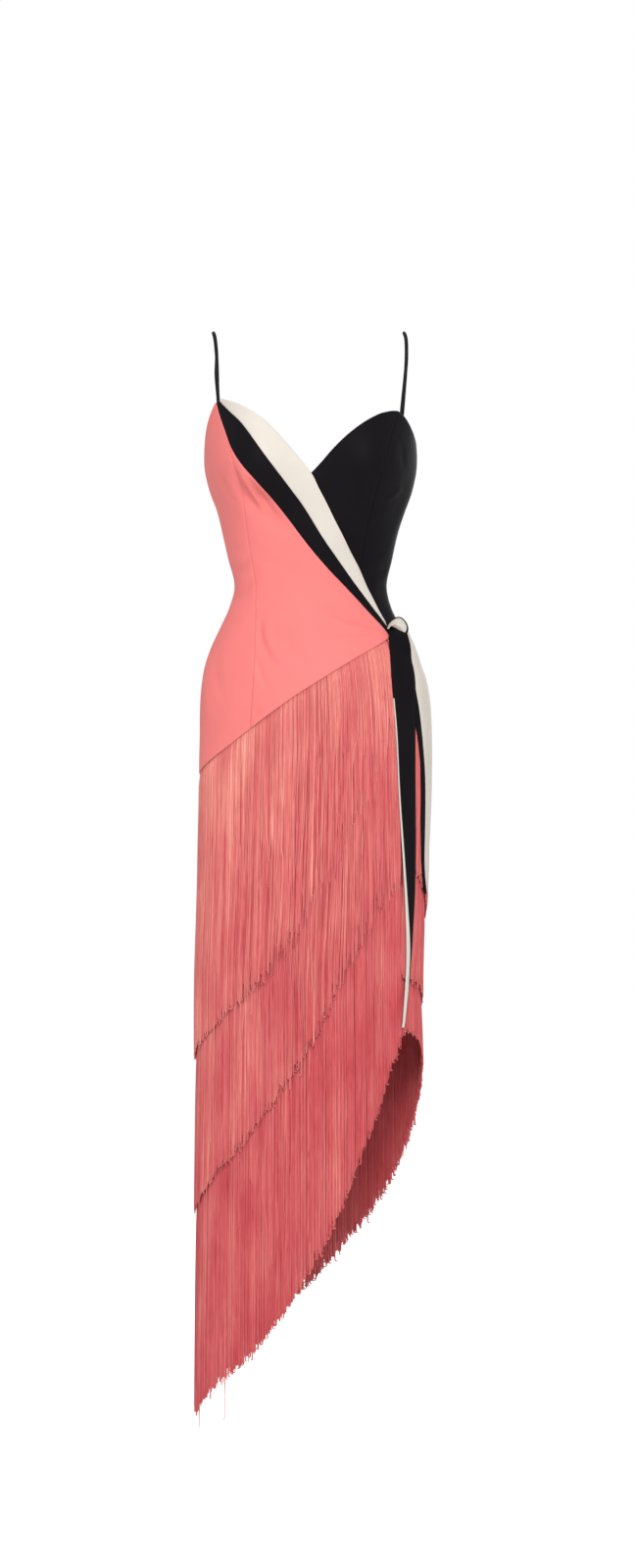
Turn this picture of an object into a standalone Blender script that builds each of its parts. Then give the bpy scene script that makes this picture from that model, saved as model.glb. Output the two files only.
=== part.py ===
"""Sleeveless wrap evening dress in the 1920s flapper manner, with a slanting three-tier fringe skirt.

Every piece of cloth is a thin closed wall on one worn form. A place on that form is an angle round the
body (0 at the centre front, +90 at the wearer's left side, 180 at the centre back, 270 or -90 at the
wearer's right side) and a drop below the shoulder line. Tables are in millimetres and degrees, the
model is in metres, and +Z is up. The origin lies midway between the tops of the two shoulder straps.
"""
import math

import bpy
from mathutils import Vector

MM = 0.001

# ---- cloth sizes, mm ------------------------------------------------------------------------------
WALL = 1.4             # thickness of a cloth panel
SEAM_GAP = 0.3         # between two pieces that are sewn edge to edge
LAYER_GAP = 1.5        # between two pieces that lie on each other
FRINGE_GAP = 0.9       # between a fringe strip and the cloth edge above it
UNDER = -(WALL + LAYER_GAP)    # where a piece lies that the wrap covers

# ---- the worn form --------------------------------------------------------------------------------
# drop below the shoulder line, reach to the wearer's right and left, depth to the front and the back
RINGS = (
    # drop, right, left, front, back
    (60, -134.0, 134.0, 96, 96),
    (130, -139.0, 139.0, 101, 104),
    (178, -141.0, 141.0, 102, 105),
    (211, -134.5, 135.0, 99, 101),
    (239, -124.5, 125.5, 94, 95),
    (269, -117.0, 116.0, 90, 87),
    (302, -109.0, 108.0, 86, 80),
    (337, -101.0, 101.0, 84, 76),
    (367, -108.0, 107.0, 87, 80),
    (393, -120.0, 120.0, 92, 90),
    (419, -132.0, 135.0, 97, 101),
    (445, -140.5, 147.5, 101, 110),
    (471, -144.5, 155.0, 104, 117),
    (503, -147.0, 159.0, 106, 122),
    (550, -147.5, 160.0, 107, 125),
    (740, -151.0, 155.5, 107, 122),
    (861, -154.5, 149.7, 107, 120),
    (1000, -154.7, 149.5, 107, 120),
    (1460, -154.7, 149.5, 107, 120),
)
CUP_OUT = 96           # half the distance between the two cups' fullest points
CUP_DROP = 182         # how far they lie below the shoulder line
CUP_FULLNESS = 50      # what the cups add to the front
CUP_WIDTH = 42
CUP_ABOVE = 50         # how softly the fullness fades upwards
CUP_BELOW = 46         # and downwards

# ---- cut lines on the form: (angle, drop) ----------------------------------------------------------
RIGHT_SIDE, LEFT_SIDE, CENTRE_BACK = -90, 90, 180
ROUND = 360
SIDE_TOP = 150         # underarm, top of both side seams
BACK_TOP = 206         # top edge at the centre back
STRAP_BACK = (122, 160)        # a strap's foot on the back edge

SEAM = (               # the slanting seam that carries the upper fringe, all round
    (-90, 588), (-73, 577), (-55, 559), (-38, 535), (-23, 509), (-8, 482), (10, 454), (27, 432),
    (50, 411), (70, 397), (90, 385), (120, 402), (150, 436), (180, 478), (210, 524), (240, 566),
    (270, 588),
)
WRAP_ANGLE = 52        # where the over-wrap's front edge hangs in the skirt
UNDERLAP_ANGLE = 16    # how far the left skirt panel reaches beneath it
UNDERLAP_DEPTH = 6.0   # and how much deeper it lies there, mm

PINK_TOP = (-69.5, 101)
BAND_TOP = (-66.5, 98)
IVORY_TOP = (-63.0, 95)
NECK_TOP = (-60.5, 93)
PINK_EDGE = (BAND_TOP, (-55, 134), (-48, 160), (-41, 181), (-27, 219), (-12, 260), (2, 294), (16, 320),
             (30, 343), (44, 368), (52, 391))
IVORY_EDGE = (IVORY_TOP, (-51, 111), (-39, 132), (-24, 174), (-9, 223), (7, 274), (18, 302), (28, 323),
              (45, 356), (54, 378), (58, 393))
NECK_EDGE = (NECK_TOP, (-51, 97), (-41, 104), (-31, 116), (-21, 134), (-11, 160), (0, 193), (5, 216),
             (13, 247), (21, 272), (30, 298), (39, 320), (50, 345), (58, 366), (62, 384))
RIGHT_PRINCESS = ((-48.7, 165), (-46, 190), (-45, 233), (-46, 281), (-46, 343), (-38, 392), (-33, 436),
                  (-33, 485))          # below its top, which is on the pink edge
RIGHT_PRINCESS_FOOT = -34
WRAP_FOOT = 56         # where the wrap's crossing edge meets the slanting seam
CUP_CORNER = (59, 109)
LEFT_PRINCESS = (CUP_CORNER, (55, 124), (47, 162), (43, 192), (41, 230), (41, 281), (40, 343), (33, 404))
CUP_NECK = ((3, 187), (12, 161), (21, 141), (31, 125), (42, 114), (52, 109.5), CUP_CORNER)
UNDER_EDGE = ((3, 187), (-8, 216), (-22, 258), (-36, 312), (-48, 362), (-54, 404))
UNDER_HEM = 404        # lower edge of the left front where the wrap covers it

# ---- fringe: (angle, drop) of each tier's ends -------------------------------------------------------
TIER_FRONT_HEMS = (
    ((-90, 962), (-73, 938), (-58, 921), (-39, 887), (-23, 852), (-11, 809), (0, 758), (9, 717),
     (17, 676), (27, 632), (38, 580), (54, 530)),
    ((-90, 1164), (-72, 1145), (-53, 1108), (-39, 1081), (-23, 1031), (-10, 985), (4, 926), (17, 848),
     (29, 790), (39, 756), (54, 730)),
    ((-90, 1434), (-74, 1424), (-61, 1399), (-40, 1369), (-27, 1339), (-12, 1290), (1, 1233),
     (14, 1167), (23, 1106), (35, 1031), (45, 968), (55, 926)),
)
TIER_BACK_HEMS = (
    ((50, 700), (68, 721), (90, 762), (120, 786), (150, 820), (180, 860), (210, 903), (240, 943),
     (270, 962)),
    ((50, 850), (68, 860), (90, 879), (120, 917), (150, 967), (180, 1026), (210, 1086), (240, 1137),
     (270, 1164)),
    ((50, 930), (62, 926), (75, 937), (90, 968), (108, 1032), (122, 1089), (137, 1142), (154, 1196),
     (174, 1256), (192, 1302), (210, 1345), (240, 1402), (270, 1434)),
)
SEW_SHARE = (0.52, 0.60)       # how far down the tier above the next tier is sewn on
STRIP_HEIGHT = 8
LOCK_THICKNESS = 2.4
LOCK_SHARE = 0.70              # of the strip that is lock and not gap
LOCKS_FRONT, LOCKS_BACK = 26, 40
LOCK_JITTER = 4                # how unevenly the locks end
TIER_DEPTH = (0.0, -3.4, -6.8)         # outer face of each tier's strip, under the tiers above it
SKIRT_DEPTH = (-3.1, -6.2, -9.5)       # outer face of the underskirt at the three strips
SKIRT_BELOW = 12               # underskirt left below the lowest strip
HIP_END = 560                  # below this drop the hip is behind the cloth
FALL_END = 870                 # below this drop the fringe hangs quite straight
LEAST_FALL = 12                # shortest stretch of a lock between two bends
COVER = 10                     # how far a tier stays flat below the ends of the tier above

# ---- sash -------------------------------------------------------------------------------------------
KNOT_ANGLE, KNOT_DROP, KNOT_OUT = 62, 392, 9.4
KNOT_HALF = (15.0, 10.5, 10.6)         # along the cloth, out from it, up
SASH_WALL = 1.6
SASH_OUT = 0.7                         # clear of the fringe it hangs on
LONG_TAIL = (                          # drop, x of its two edges
    (404, 101.0, 123.0), (430, 103.0, 131.0), (455, 106.0, 135.0), (495, 110.0, 136.5),
    (535, 113.0, 137.5), (598, 115.5, 138.5), (661, 120.0, 138.5), (715, 123.5, 138.0),
    (755, 125.5, 137.5), (786, 127.0, 136.0), (831, 128.0, 133.5), (867, 126.5, 131.0),
    (921, 124.0, 127.5),
)
SHORT_TAIL = (
    (404, 124.5, 131.0), (430, 132.5, 142.5), (455, 136.5, 151.5), (477, 137.5, 155.5),
    (503, 138.5, 158.0), (535, 141.5, 159.0), (580, 143.5, 159.3), (652, 144.5, 157.5),
    (705, 145.5, 155.5), (728, 147.5, 154.5), (745, 151.0, 154.0),
)
TAIL_STEP = 14

# ---- straps: (x, y, z) of the cord's centre, mm ---------------------------------------------------------
STRAP_RADIUS = 2.4
STRAP_TUCK = 9                 # the cord runs this far down inside the edge it is sewn to
STRAP_GAP = 1.1                # between the cord and the cloth it is sewn to
RIGHT_STRAP = ((-124.4, -44, -62), (-124.0, -34, -36), (-126.4, -18, -11), (-129.0, 2, -2.4),
               (-127.0, 22, -11), (-125.0, 40, -38), (-124.0, 50, -80), (-121.0, 56, -122))
LEFT_STRAP = ((124.6, -44, -64), (126.6, -34, -38), (126.4, -18, -13), (124.0, 2, -2.4),
              (127.0, 22, -11), (127.4, 40, -38), (124.6, 50, -80), (121.0, 56, -122))
STRAP_POINTS = 20

CORAL = (1.0, 0.23, 0.21, 1)
FRINGE_CORAL = (0.78, 0.15, 0.14, 1)
BLACK = (0.012, 0.011, 0.012, 1)
IVORY = (0.87, 0.77, 0.64, 1)


def clear_scene():
    for item in list(bpy.data.objects):
        bpy.data.objects.remove(item, do_unlink=True)


# ---- curves through short tables ----------------------------------------------------------------------
def row_at(table, x):
    """The other columns of a table at x, on a smooth curve through its rows."""
    x = min(max(x, table[0][0]), table[-1][0])
    k = 0
    while k < len(table) - 2 and x > table[k + 1][0]:
        k += 1
    low, high = table[k], table[k + 1]
    before, after = table[max(k - 1, 0)], table[min(k + 2, len(table) - 1)]
    step = high[0] - low[0]
    t = (x - low[0]) / step
    values = []
    for c in range(1, len(low)):
        slope_low = (high[c] - before[c]) / (high[0] - before[0]) * step
        slope_high = (after[c] - low[c]) / (after[0] - low[0]) * step
        values.append((2 * t**3 - 3 * t**2 + 1) * low[c] + (t**3 - 2 * t**2 + t) * slope_low
                      + (3 * t**2 - 2 * t**3) * high[c] + (t**3 - t**2) * slope_high)
    return values


def through(points, t):
    """A point of the smooth curve through points, at t from 0 to 1, by their number."""
    place = t * (len(points) - 1)
    k = min(int(place), len(points) - 2)
    t = place - k
    p0 = points[max(k - 1, 0)]
    p1, p2 = points[k], points[k + 1]
    p3 = points[min(k + 2, len(points) - 1)]
    return [0.5 * (2 * b + (c - a) * t + (2 * a - 5 * b + 4 * c - d) * t**2
                   + (3 * b - a - 3 * c + d) * t**3) for a, b, c, d in zip(p0, p1, p2, p3)]


def evenly(points, count, place):
    """count + 1 points along the curve through points, evenly spaced where place() puts them."""
    fine = [through(points, k / 240) for k in range(241)]
    spots = [place(p) for p in fine]
    run = [0.0]
    for a, b in zip(spots, spots[1:]):
        run.append(run[-1] + (b - a).length)
    made, k = [], 0
    for n in range(count + 1):
        goal = run[-1] * n / count
        while k < 239 and run[k + 1] < goal:
            k += 1
        t = min(max((goal - run[k]) / max(run[k + 1] - run[k], 1e-9), 0), 1)
        made.append([a + (b - a) * t for a, b in zip(fine[k], fine[k + 1])])
    return made


def smoothstep(t):
    t = min(max(t, 0.0), 1.0)
    return t * t * (3 - 2 * t)


# ---- the form ---------------------------------------------------------------------------------------
def form(angle, drop):
    """A point of the worn form, in millimetres."""
    right, left, front, back = row_at(RINGS, drop)
    turn = math.radians(angle)
    x = (left + right) / 2 + (left - right) / 2 * math.sin(turn)
    ahead = math.cos(turn)
    y = -(front if ahead > 0 else back) * ahead
    if ahead > 0:
        fade = CUP_ABOVE if drop < CUP_DROP else CUP_BELOW
        high = math.exp(-((drop - CUP_DROP) / fade) ** 2 / 2)
        for cup in (-CUP_OUT, CUP_OUT):
            y -= CUP_FULLNESS * ahead * high * math.exp(-((x - cup) / CUP_WIDTH) ** 2 / 2)
    return Vector((x, y, -drop))


def skin(angle, drop, out=0.0):
    """The form's point moved out along its normal, in metres."""
    across = form(angle + 0.5, drop) - form(angle - 0.5, drop)
    down = form(angle, drop + 1) - form(angle, drop - 1)
    return (form(angle, drop) + down.cross(across).normalized() * out) * MM


def angle_of(x, drop):
    """The angle on the wearer's left front where the form has that x."""
    right, left = row_at(RINGS, drop)[:2]
    share = (x - (left + right) / 2) / ((left - right) / 2)
    return math.degrees(math.asin(min(max(share, -1), 0.9975)))


def seam_drop(angle):
    return row_at(SEAM, angle)[0]


# ---- objects ----------------------------------------------------------------------------------------
def material(name, colour, roughness):
    made = bpy.data.materials.new(name)
    made.use_nodes = True
    shader = made.node_tree.nodes["Principled BSDF"]
    shader.inputs["Base Color"].default_value = colour
    shader.inputs["Roughness"].default_value = roughness
    shader.inputs["Metallic"].default_value = 0.0
    return made


def add_mesh(name, points, faces, colour, roughness=0.6):
    mesh = bpy.data.meshes.new(name)
    mesh.from_pydata([tuple(p) for p in points], [], faces)
    mesh.materials.append(material(name + "_cloth", colour, roughness))
    made = bpy.data.objects.new(name, mesh)
    bpy.context.scene.collection.objects.link(made)
    mesh.update()
    return made


def patch(top, bottom, left, right):
    """Grid of (angle, drop) between four sides; top and bottom run left to right, the others down."""
    across, down = len(top) - 1, len(left) - 1
    grid = []
    for j in range(down + 1):
        t = j / down
        row = []
        for i in range(across + 1):
            s = i / across
            row.append([
                (1 - t) * top[i][c] + t * bottom[i][c] + (1 - s) * left[j][c] + s * right[j][c]
                - (1 - s) * (1 - t) * top[0][c] - s * (1 - t) * top[-1][c]
                - (1 - s) * t * bottom[0][c] - s * t * bottom[-1][c]
                for c in (0, 1)])
        grid.append(row)
    return grid


def drawn_in(grid, gap):
    """The grid with its four sides drawn in by gap, so that neighbours don't touch."""
    def towards(edge, inner):
        run = (skin(*inner) - skin(*edge)).length / MM
        return [a + (b - a) * min(gap / run, 0.4) for a, b in zip(edge, inner)]

    rows = [[towards(r[0], r[1])] + r[1:-1] + [towards(r[-1], r[-2])] for r in grid]
    first = [towards(a, b) for a, b in zip(rows[0], rows[1])]
    last = [towards(a, b) for a, b in zip(rows[-1], rows[-2])]
    return [first] + rows[1:-1] + [last]


def wall(name, grid, colour, out=0.0, thickness=WALL, gap=SEAM_GAP / 2):
    """A closed wall over a grid of (angle, drop): its outer face lies at out, a size or a function."""
    grid = drawn_in(grid, gap)
    across, down = len(grid[0]), len(grid)
    depth = out if callable(out) else (lambda angle, drop: out)
    outer = [skin(a, d, depth(a, d)) for row in grid for a, d in row]
    inner = [skin(a, d, depth(a, d) - thickness) for row in grid for a, d in row]
    half = len(outer)
    faces = []
    for j in range(down - 1):
        for i in range(across - 1):
            a = j * across + i
            b, c, d = a + 1, a + across + 1, a + across
            if (outer[a] - outer[c]).length < (outer[b] - outer[d]).length:
                pair = (a, d, c), (a, c, b)
            else:
                pair = (a, d, b), (b, d, c)
            faces += pair
            faces += [(k + half, n + half, m + half) for k, m, n in pair]
    rim = ([j * across for j in range(down)]
           + [(down - 1) * across + i for i in range(1, across)]
           + [j * across + across - 1 for j in range(down - 2, -1, -1)]
           + [i for i in range(across - 2, 0, -1)])
    for a, b in zip(rim, rim[1:] + rim[:1]):
        faces += [(a, a + half, b + half), (a, b + half, b)]
    return add_mesh(name, outer + inner, faces, colour)


def line(points, count):
    return evenly([list(p) for p in points], count, lambda p: skin(*p))


def seam_line(start, end, count):
    """The slanting seam between two angles."""
    rows = 24
    points = [(start + (end - start) * k / rows, seam_drop(start + (end - start) * k / rows))
              for k in range(rows + 1)]
    return line(points, count)


# ---- bodice -----------------------------------------------------------------------------------------
def bodice():
    side, wrap, beside_band, rows = 6, 10, 4, 16
    edge = line([*PINK_EDGE, (WRAP_FOOT, seam_drop(WRAP_FOOT))], beside_band + wrap + rows)
    turn = beside_band + wrap
    foot = (RIGHT_PRINCESS_FOOT, seam_drop(RIGHT_PRINCESS_FOOT))
    princess = line([edge[beside_band], *RIGHT_PRINCESS, foot], rows)
    side_seam = line([(RIGHT_SIDE, SIDE_TOP), (RIGHT_SIDE, 300), (RIGHT_SIDE, 440),
                      (RIGHT_SIDE, seam_drop(RIGHT_SIDE))], rows + beside_band)
    armhole = line([(RIGHT_SIDE, SIDE_TOP), (-84, 134), (-76, 114), PINK_TOP, BAND_TOP], side)
    wall("front_right_side",
         patch(armhole, seam_line(RIGHT_SIDE, RIGHT_PRINCESS_FOOT, side), side_seam,
               edge[:beside_band] + princess), CORAL)
    wall("front_right_wrap",
         patch(edge[beside_band:turn + 1], seam_line(RIGHT_PRINCESS_FOOT, WRAP_FOOT, wrap), princess,
               edge[turn:]), CORAL)

    def strip(name, left, right, colour):
        wall(name, patch(line([left[0], right[0]], 2), line([left[-1], right[-1]], 2), left, right), colour)

    inner_edge = line(IVORY_EDGE, turn + rows)
    strip("wrap_band_black", edge, inner_edge, BLACK)
    strip("wrap_band_ivory", inner_edge, line(NECK_EDGE, turn + rows), IVORY)

    def beneath(angle, drop):
        """The left front lies under the wrap and comes level with the back at the side seam."""
        return UNDER * (1 - smoothstep((angle - 64) / 26))

    rows = 16
    princess = line(LEFT_PRINCESS, rows)
    wall("front_left_cup",
         patch(line(CUP_NECK, 9), line([UNDER_EDGE[-1], (-10, UNDER_HEM), LEFT_PRINCESS[-1]], 9),
               line(UNDER_EDGE, rows), princess), BLACK, beneath)
    left_seam = line([(LEFT_SIDE, SIDE_TOP), (LEFT_SIDE, 230), (LEFT_SIDE, 310),
                      (LEFT_SIDE, seam_drop(LEFT_SIDE))], rows)
    armhole = line([CUP_CORNER, (67, 116), (77, 131), (LEFT_SIDE, SIDE_TOP)], 6)
    hem = line([LEFT_PRINCESS[-1], *[(angle, min(UNDER_HEM, seam_drop(angle)))
                                     for angle in (45, 54, 62, 68, 74, 80, 85, LEFT_SIDE)]], 6)
    wall("front_left_side", patch(armhole, hem, princess, left_seam), BLACK, beneath)

    top = [(LEFT_SIDE, SIDE_TOP), STRAP_BACK, (150, 183), (CENTRE_BACK, BACK_TOP)]
    centre = line([(CENTRE_BACK, BACK_TOP), (CENTRE_BACK, 270), (CENTRE_BACK, 370),
                   (CENTRE_BACK, seam_drop(CENTRE_BACK))], 18)
    wall("back_left",
         patch(line(top, 8), seam_line(LEFT_SIDE, CENTRE_BACK, 8),
               line([(LEFT_SIDE, SIDE_TOP), (LEFT_SIDE, 230), (LEFT_SIDE, 310),
                     (LEFT_SIDE, seam_drop(LEFT_SIDE))], 18), centre), BLACK)
    top = [(CENTRE_BACK, BACK_TOP), (ROUND - 150, 183), (ROUND - STRAP_BACK[0], STRAP_BACK[1]),
           (ROUND + RIGHT_SIDE, SIDE_TOP)]
    wall("back_right",
         patch(line(top, 8), seam_line(CENTRE_BACK, ROUND + RIGHT_SIDE, 8), centre,
               line([(ROUND + RIGHT_SIDE, SIDE_TOP), (ROUND + RIGHT_SIDE, 300),
                     (ROUND + RIGHT_SIDE, 440), (ROUND + RIGHT_SIDE, seam_drop(RIGHT_SIDE))], 18)), CORAL)


# ---- skirt ------------------------------------------------------------------------------------------
def strip_drop(tier, hems, angle):
    """Where a tier's strip is sewn on: the seam, or a share of the way down the tier above."""
    drop = seam_drop(angle)
    for above in range(tier):
        drop += SEW_SHARE[above] * (row_at(hems[above], angle)[0] - drop)
    return drop


def skirt_panel(name, hems, start, end, across, lap):
    """Plain skirt that carries the lower tiers: it draws in a little at each strip."""
    def drops(angle):
        angle = max(angle, hems[0][0][0])
        return [strip_drop(tier, hems, angle) for tier in range(3)]

    def depth(angle, drop):
        seam, second, third = drops(angle)
        if drop < second:
            out = SKIRT_DEPTH[0] + (SKIRT_DEPTH[1] - SKIRT_DEPTH[0]) * (drop - seam) / (second - seam)
        else:
            share = min((drop - second) / (third - second), 1.0)
            out = SKIRT_DEPTH[1] + (SKIRT_DEPTH[2] - SKIRT_DEPTH[1]) * share
        return out - lap(angle)

    rows = 10
    grid = []
    for j in range(rows + 1):
        row = []
        for i in range(across + 1):
            angle = start + (end - start) * i / across
            seam, _, third = drops(angle)
            top, low = seam + 1, third + STRIP_HEIGHT + SKIRT_BELOW
            row.append([angle, top + (low - top) * j / rows])
        grid.append(row)
    wall(name, grid, CORAL, depth)


def fringe(name, tier, hems, start, end, locks):
    """A strip with its locks: every second cell of its lower side is drawn down into a lock."""
    cells = []
    pitch = (end - start) / (locks - 1 + LOCK_SHARE)
    for n in range(locks):
        cells.append(start + pitch * n)
        cells.append(start + pitch * (n + LOCK_SHARE))
    edge = SEAM_GAP if tier else FRINGE_GAP
    cells[0] += 0.25
    cells[-1] -= 0.25

    def cover(angle):
        """Drop down to which the tier above lies on this one."""
        return row_at(hems[tier - 1], angle)[0] + COVER

    def depth(angle, drop, tip):
        if tier == 0:
            return 0.0
        covered = cover(angle)
        share = (drop - covered) / max(tip - covered, 1)
        return TIER_DEPTH[tier] * (1 - min(max(share, 0.0), 1.0))

    points, faces = [], []

    def ring(angles, drop, tip):
        """Two outer and two inner points, or one pair for a single angle."""
        first = len(points)
        for angle in angles:
            out = depth(angle, drop, tip)
            points.append(skin(angle, drop, out))
            points.append(skin(angle, drop, out - LOCK_THICKNESS))
        return first

    tops, bottoms = [], []
    for angle in cells:
        drop = strip_drop(tier, hems, angle) + edge
        tops.append(ring([angle], drop, drop + 1000))
        bottoms.append(ring([angle], drop + STRIP_HEIGHT, drop + 1000))
    for k in range(len(cells) - 1):
        a, b, c, d = tops[k], tops[k + 1], bottoms[k + 1], bottoms[k]
        faces += [(a, d, c), (a, c, b), (a + 1, c + 1, d + 1), (a + 1, b + 1, c + 1)]
        faces += [(a, b, b + 1), (a, b + 1, a + 1)]
        if k % 2:
            faces += [(d, d + 1, c + 1), (d, c + 1, c)]
    for a, d in ((tops[0], bottoms[0]), (bottoms[-1], tops[-1])):
        faces += [(a, a + 1, d + 1), (a, d + 1, d)]

    for n in range(locks):
        angles = cells[2 * n], cells[2 * n + 1]
        middle = sum(angles) / 2
        root = strip_drop(tier, hems, middle) + edge + STRIP_HEIGHT
        tip = row_at(hems[tier], middle)[0] + LOCK_JITTER * math.sin(n * 2.4 + tier)
        bends = [ring_row[0] for ring_row in RINGS if ring_row[0] < FALL_END]
        if tier:
            bends = [b for b in bends if abs(b - cover(middle)) > LEAST_FALL] + [cover(middle)]
        stops = [b for b in sorted(bends) if root + LEAST_FALL / 2 < b < tip - LEAST_FALL] + [tip]
        above = (bottoms[2 * n], bottoms[2 * n + 1])
        for stop in stops:
            first = ring(angles, stop, tip)
            here = (first, first + 2)
            for a, b in ((above[0], above[1]), (above[1], above[1] + 1),
                         (above[1] + 1, above[0] + 1), (above[0] + 1, above[0])):
                c = here[0] + (b - above[0] if b < above[1] else b - above[1] + 2)
                d = here[0] + (a - above[0] if a < above[1] else a - above[1] + 2)
                faces += [(a, d, c), (a, c, b)]
            above = here
        a, b = above
        faces += [(a, a + 1, b + 1), (a, b + 1, b)]
    return add_mesh(name, points, faces, FRINGE_CORAL, 0.7)


def skirt():
    skirt_panel("underskirt_front", TIER_FRONT_HEMS, RIGHT_SIDE, WRAP_ANGLE, 12, lambda angle: 0.0)
    skirt_panel("underskirt_left", TIER_BACK_HEMS, UNDERLAP_ANGLE, ROUND + RIGHT_SIDE, 21,
                lambda angle: UNDERLAP_DEPTH * (1 - smoothstep((angle - WRAP_ANGLE - 2) / 14)))
    for tier in range(3):
        fringe(f"fringe_{tier + 1}_front", tier, TIER_FRONT_HEMS, RIGHT_SIDE, WRAP_ANGLE, LOCKS_FRONT)
        fringe(f"fringe_{tier + 1}_back", tier, TIER_BACK_HEMS, WRAP_ANGLE, ROUND + RIGHT_SIDE, LOCKS_BACK)


# ---- sash and straps ----------------------------------------------------------------------------------
def tail(name, table, colour):
    """One hanging end of the sash, a strip laid over the fringe."""
    first, last = table[0][0], table[-1][0]
    rows = math.ceil((HIP_END - first) / TAIL_STEP) + math.ceil((last - HIP_END) / (3 * TAIL_STEP))
    bend = math.ceil((HIP_END - first) / TAIL_STEP)
    drops = [first + (HIP_END - first) * k / bend for k in range(bend)]
    drops += [HIP_END + (last - HIP_END) * k / (rows - bend) for k in range(rows - bend + 1)]
    grid = []
    for drop in drops:
        low, high = (angle_of(x, drop) for x in row_at(table, drop))
        grid.append([[low + (high - low) * k / 4, drop] for k in range(5)])
    wall(name, grid, colour, SASH_OUT + SASH_WALL, SASH_WALL)


def knot():
    """The tied loop: a rounded lump, nipped in where the loop crosses it."""
    centre = skin(KNOT_ANGLE, KNOT_DROP, KNOT_OUT)
    outward = (centre - skin(KNOT_ANGLE, KNOT_DROP)).normalized()
    along = Vector((0, 0, 1)).cross(outward).normalized()
    up = outward.cross(along)
    turns, rings = 16, 9
    points = [centre + up * KNOT_HALF[2] * MM]
    for j in range(1, rings):
        high = math.pi * j / rings
        for i in range(turns):
            turn = math.tau * i / turns
            nip = 1 - 0.16 * math.exp(-(math.cos(turn) / 0.35) ** 2)
            points.append(centre + (along * math.cos(turn) * KNOT_HALF[0]
                                    + outward * math.sin(turn) * nip * KNOT_HALF[1]) * math.sin(high) * MM
                          + up * math.cos(high) * KNOT_HALF[2] * MM)
    points.append(centre - up * KNOT_HALF[2] * MM)
    last = len(points) - 1
    faces = [(0, 1 + (i + 1) % turns, 1 + i) for i in range(turns)]
    for j in range(rings - 2):
        for i in range(turns):
            a, b = 1 + j * turns + i, 1 + j * turns + (i + 1) % turns
            faces.append((a, b, b + turns, a + turns))
    faces += [(last, 1 + (rings - 2) * turns + i, 1 + (rings - 2) * turns + (i + 1) % turns)
              for i in range(turns)]
    add_mesh("sash_knot", points, faces, IVORY)


def strap(name, middle, front_foot, back_foot):
    """A round spaghetti strap from the top corner of a cup over the shoulder to the back's edge."""
    ends = []
    for angle, drop, out in (front_foot, back_foot):
        inside = out - WALL - STRAP_GAP - STRAP_RADIUS
        ends.append([list(skin(angle, drop + low, inside) / MM) for low in (-2 * STRAP_RADIUS, STRAP_TUCK)])
    route = [ends[0][1], ends[0][0], *[list(p) for p in middle], ends[1][0], ends[1][1]]
    spots = evenly(route, STRAP_POINTS, lambda p: Vector(p) * MM)
    data = bpy.data.curves.new(name, "CURVE")
    data.dimensions = "3D"
    data.bevel_depth = STRAP_RADIUS * MM
    data.bevel_resolution = 2
    data.use_fill_caps = True
    data.materials.append(material(name + "_cord", BLACK, 0.5))
    spline = data.splines.new("POLY")
    spline.points.add(len(spots) - 1)
    for point, spot in zip(spline.points, spots):
        point.co = (*(Vector(spot) * MM), 1)
    made = bpy.data.objects.new(name, data)
    bpy.context.scene.collection.objects.link(made)


def sash_and_straps():
    knot()
    tail("sash_tail_long", LONG_TAIL, BLACK)
    tail("sash_tail_short", SHORT_TAIL, IVORY)
    strap("strap_right", RIGHT_STRAP, (-67.5, 99, 0), (ROUND - STRAP_BACK[0], STRAP_BACK[1], 0))
    strap("strap_left", LEFT_STRAP, (67, 116, UNDER), (*STRAP_BACK, 0))


def main():
    clear_scene()
    bodice()
    skirt()
    sash_and_straps()


main()
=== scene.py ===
# %% [markdown]
# # A flapper dress with a slanting fringe skirt
# This lesson dresses the bare solids of a 1920s-style evening dress. The panels become thin sheets with
# seams and creases, the fringe a few thousand fine cords, and the sash, knot and straps get their folds.
# The solids are loaded first. They never move, and all that is made here sits on them.

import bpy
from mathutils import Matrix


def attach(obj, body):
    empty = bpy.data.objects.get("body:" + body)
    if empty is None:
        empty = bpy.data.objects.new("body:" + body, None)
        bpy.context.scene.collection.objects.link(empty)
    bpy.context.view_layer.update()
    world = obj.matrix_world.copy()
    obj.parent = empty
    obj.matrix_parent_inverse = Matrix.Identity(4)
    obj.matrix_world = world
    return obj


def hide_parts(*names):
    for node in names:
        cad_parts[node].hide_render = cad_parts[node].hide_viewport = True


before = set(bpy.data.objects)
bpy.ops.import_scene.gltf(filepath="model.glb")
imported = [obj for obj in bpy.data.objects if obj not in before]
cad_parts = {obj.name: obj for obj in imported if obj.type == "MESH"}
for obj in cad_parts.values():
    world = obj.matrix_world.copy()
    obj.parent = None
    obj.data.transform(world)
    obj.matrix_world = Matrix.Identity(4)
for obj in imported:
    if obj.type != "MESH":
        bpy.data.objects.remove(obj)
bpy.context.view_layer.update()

# %% tools
import math

import bpy
import numpy as np
from mathutils import Vector

MM = 0.001
for thing in bpy.context.selected_objects:
    thing.select_set(False)

# %% [markdown]
# ## The worn form
# A dress on a body is a tube with waist, hips and bust. It could be sculpted, but a table of rings is short
# and exact: how far each reaches to the sides, the front and the back. A place on it is an angle round the
# body (0 at the centre front, 90 at the wearer's left side) and a drop below the shoulder line, so a seam is
# a short list of such pairs, and all sheets lie on the same form.

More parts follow.
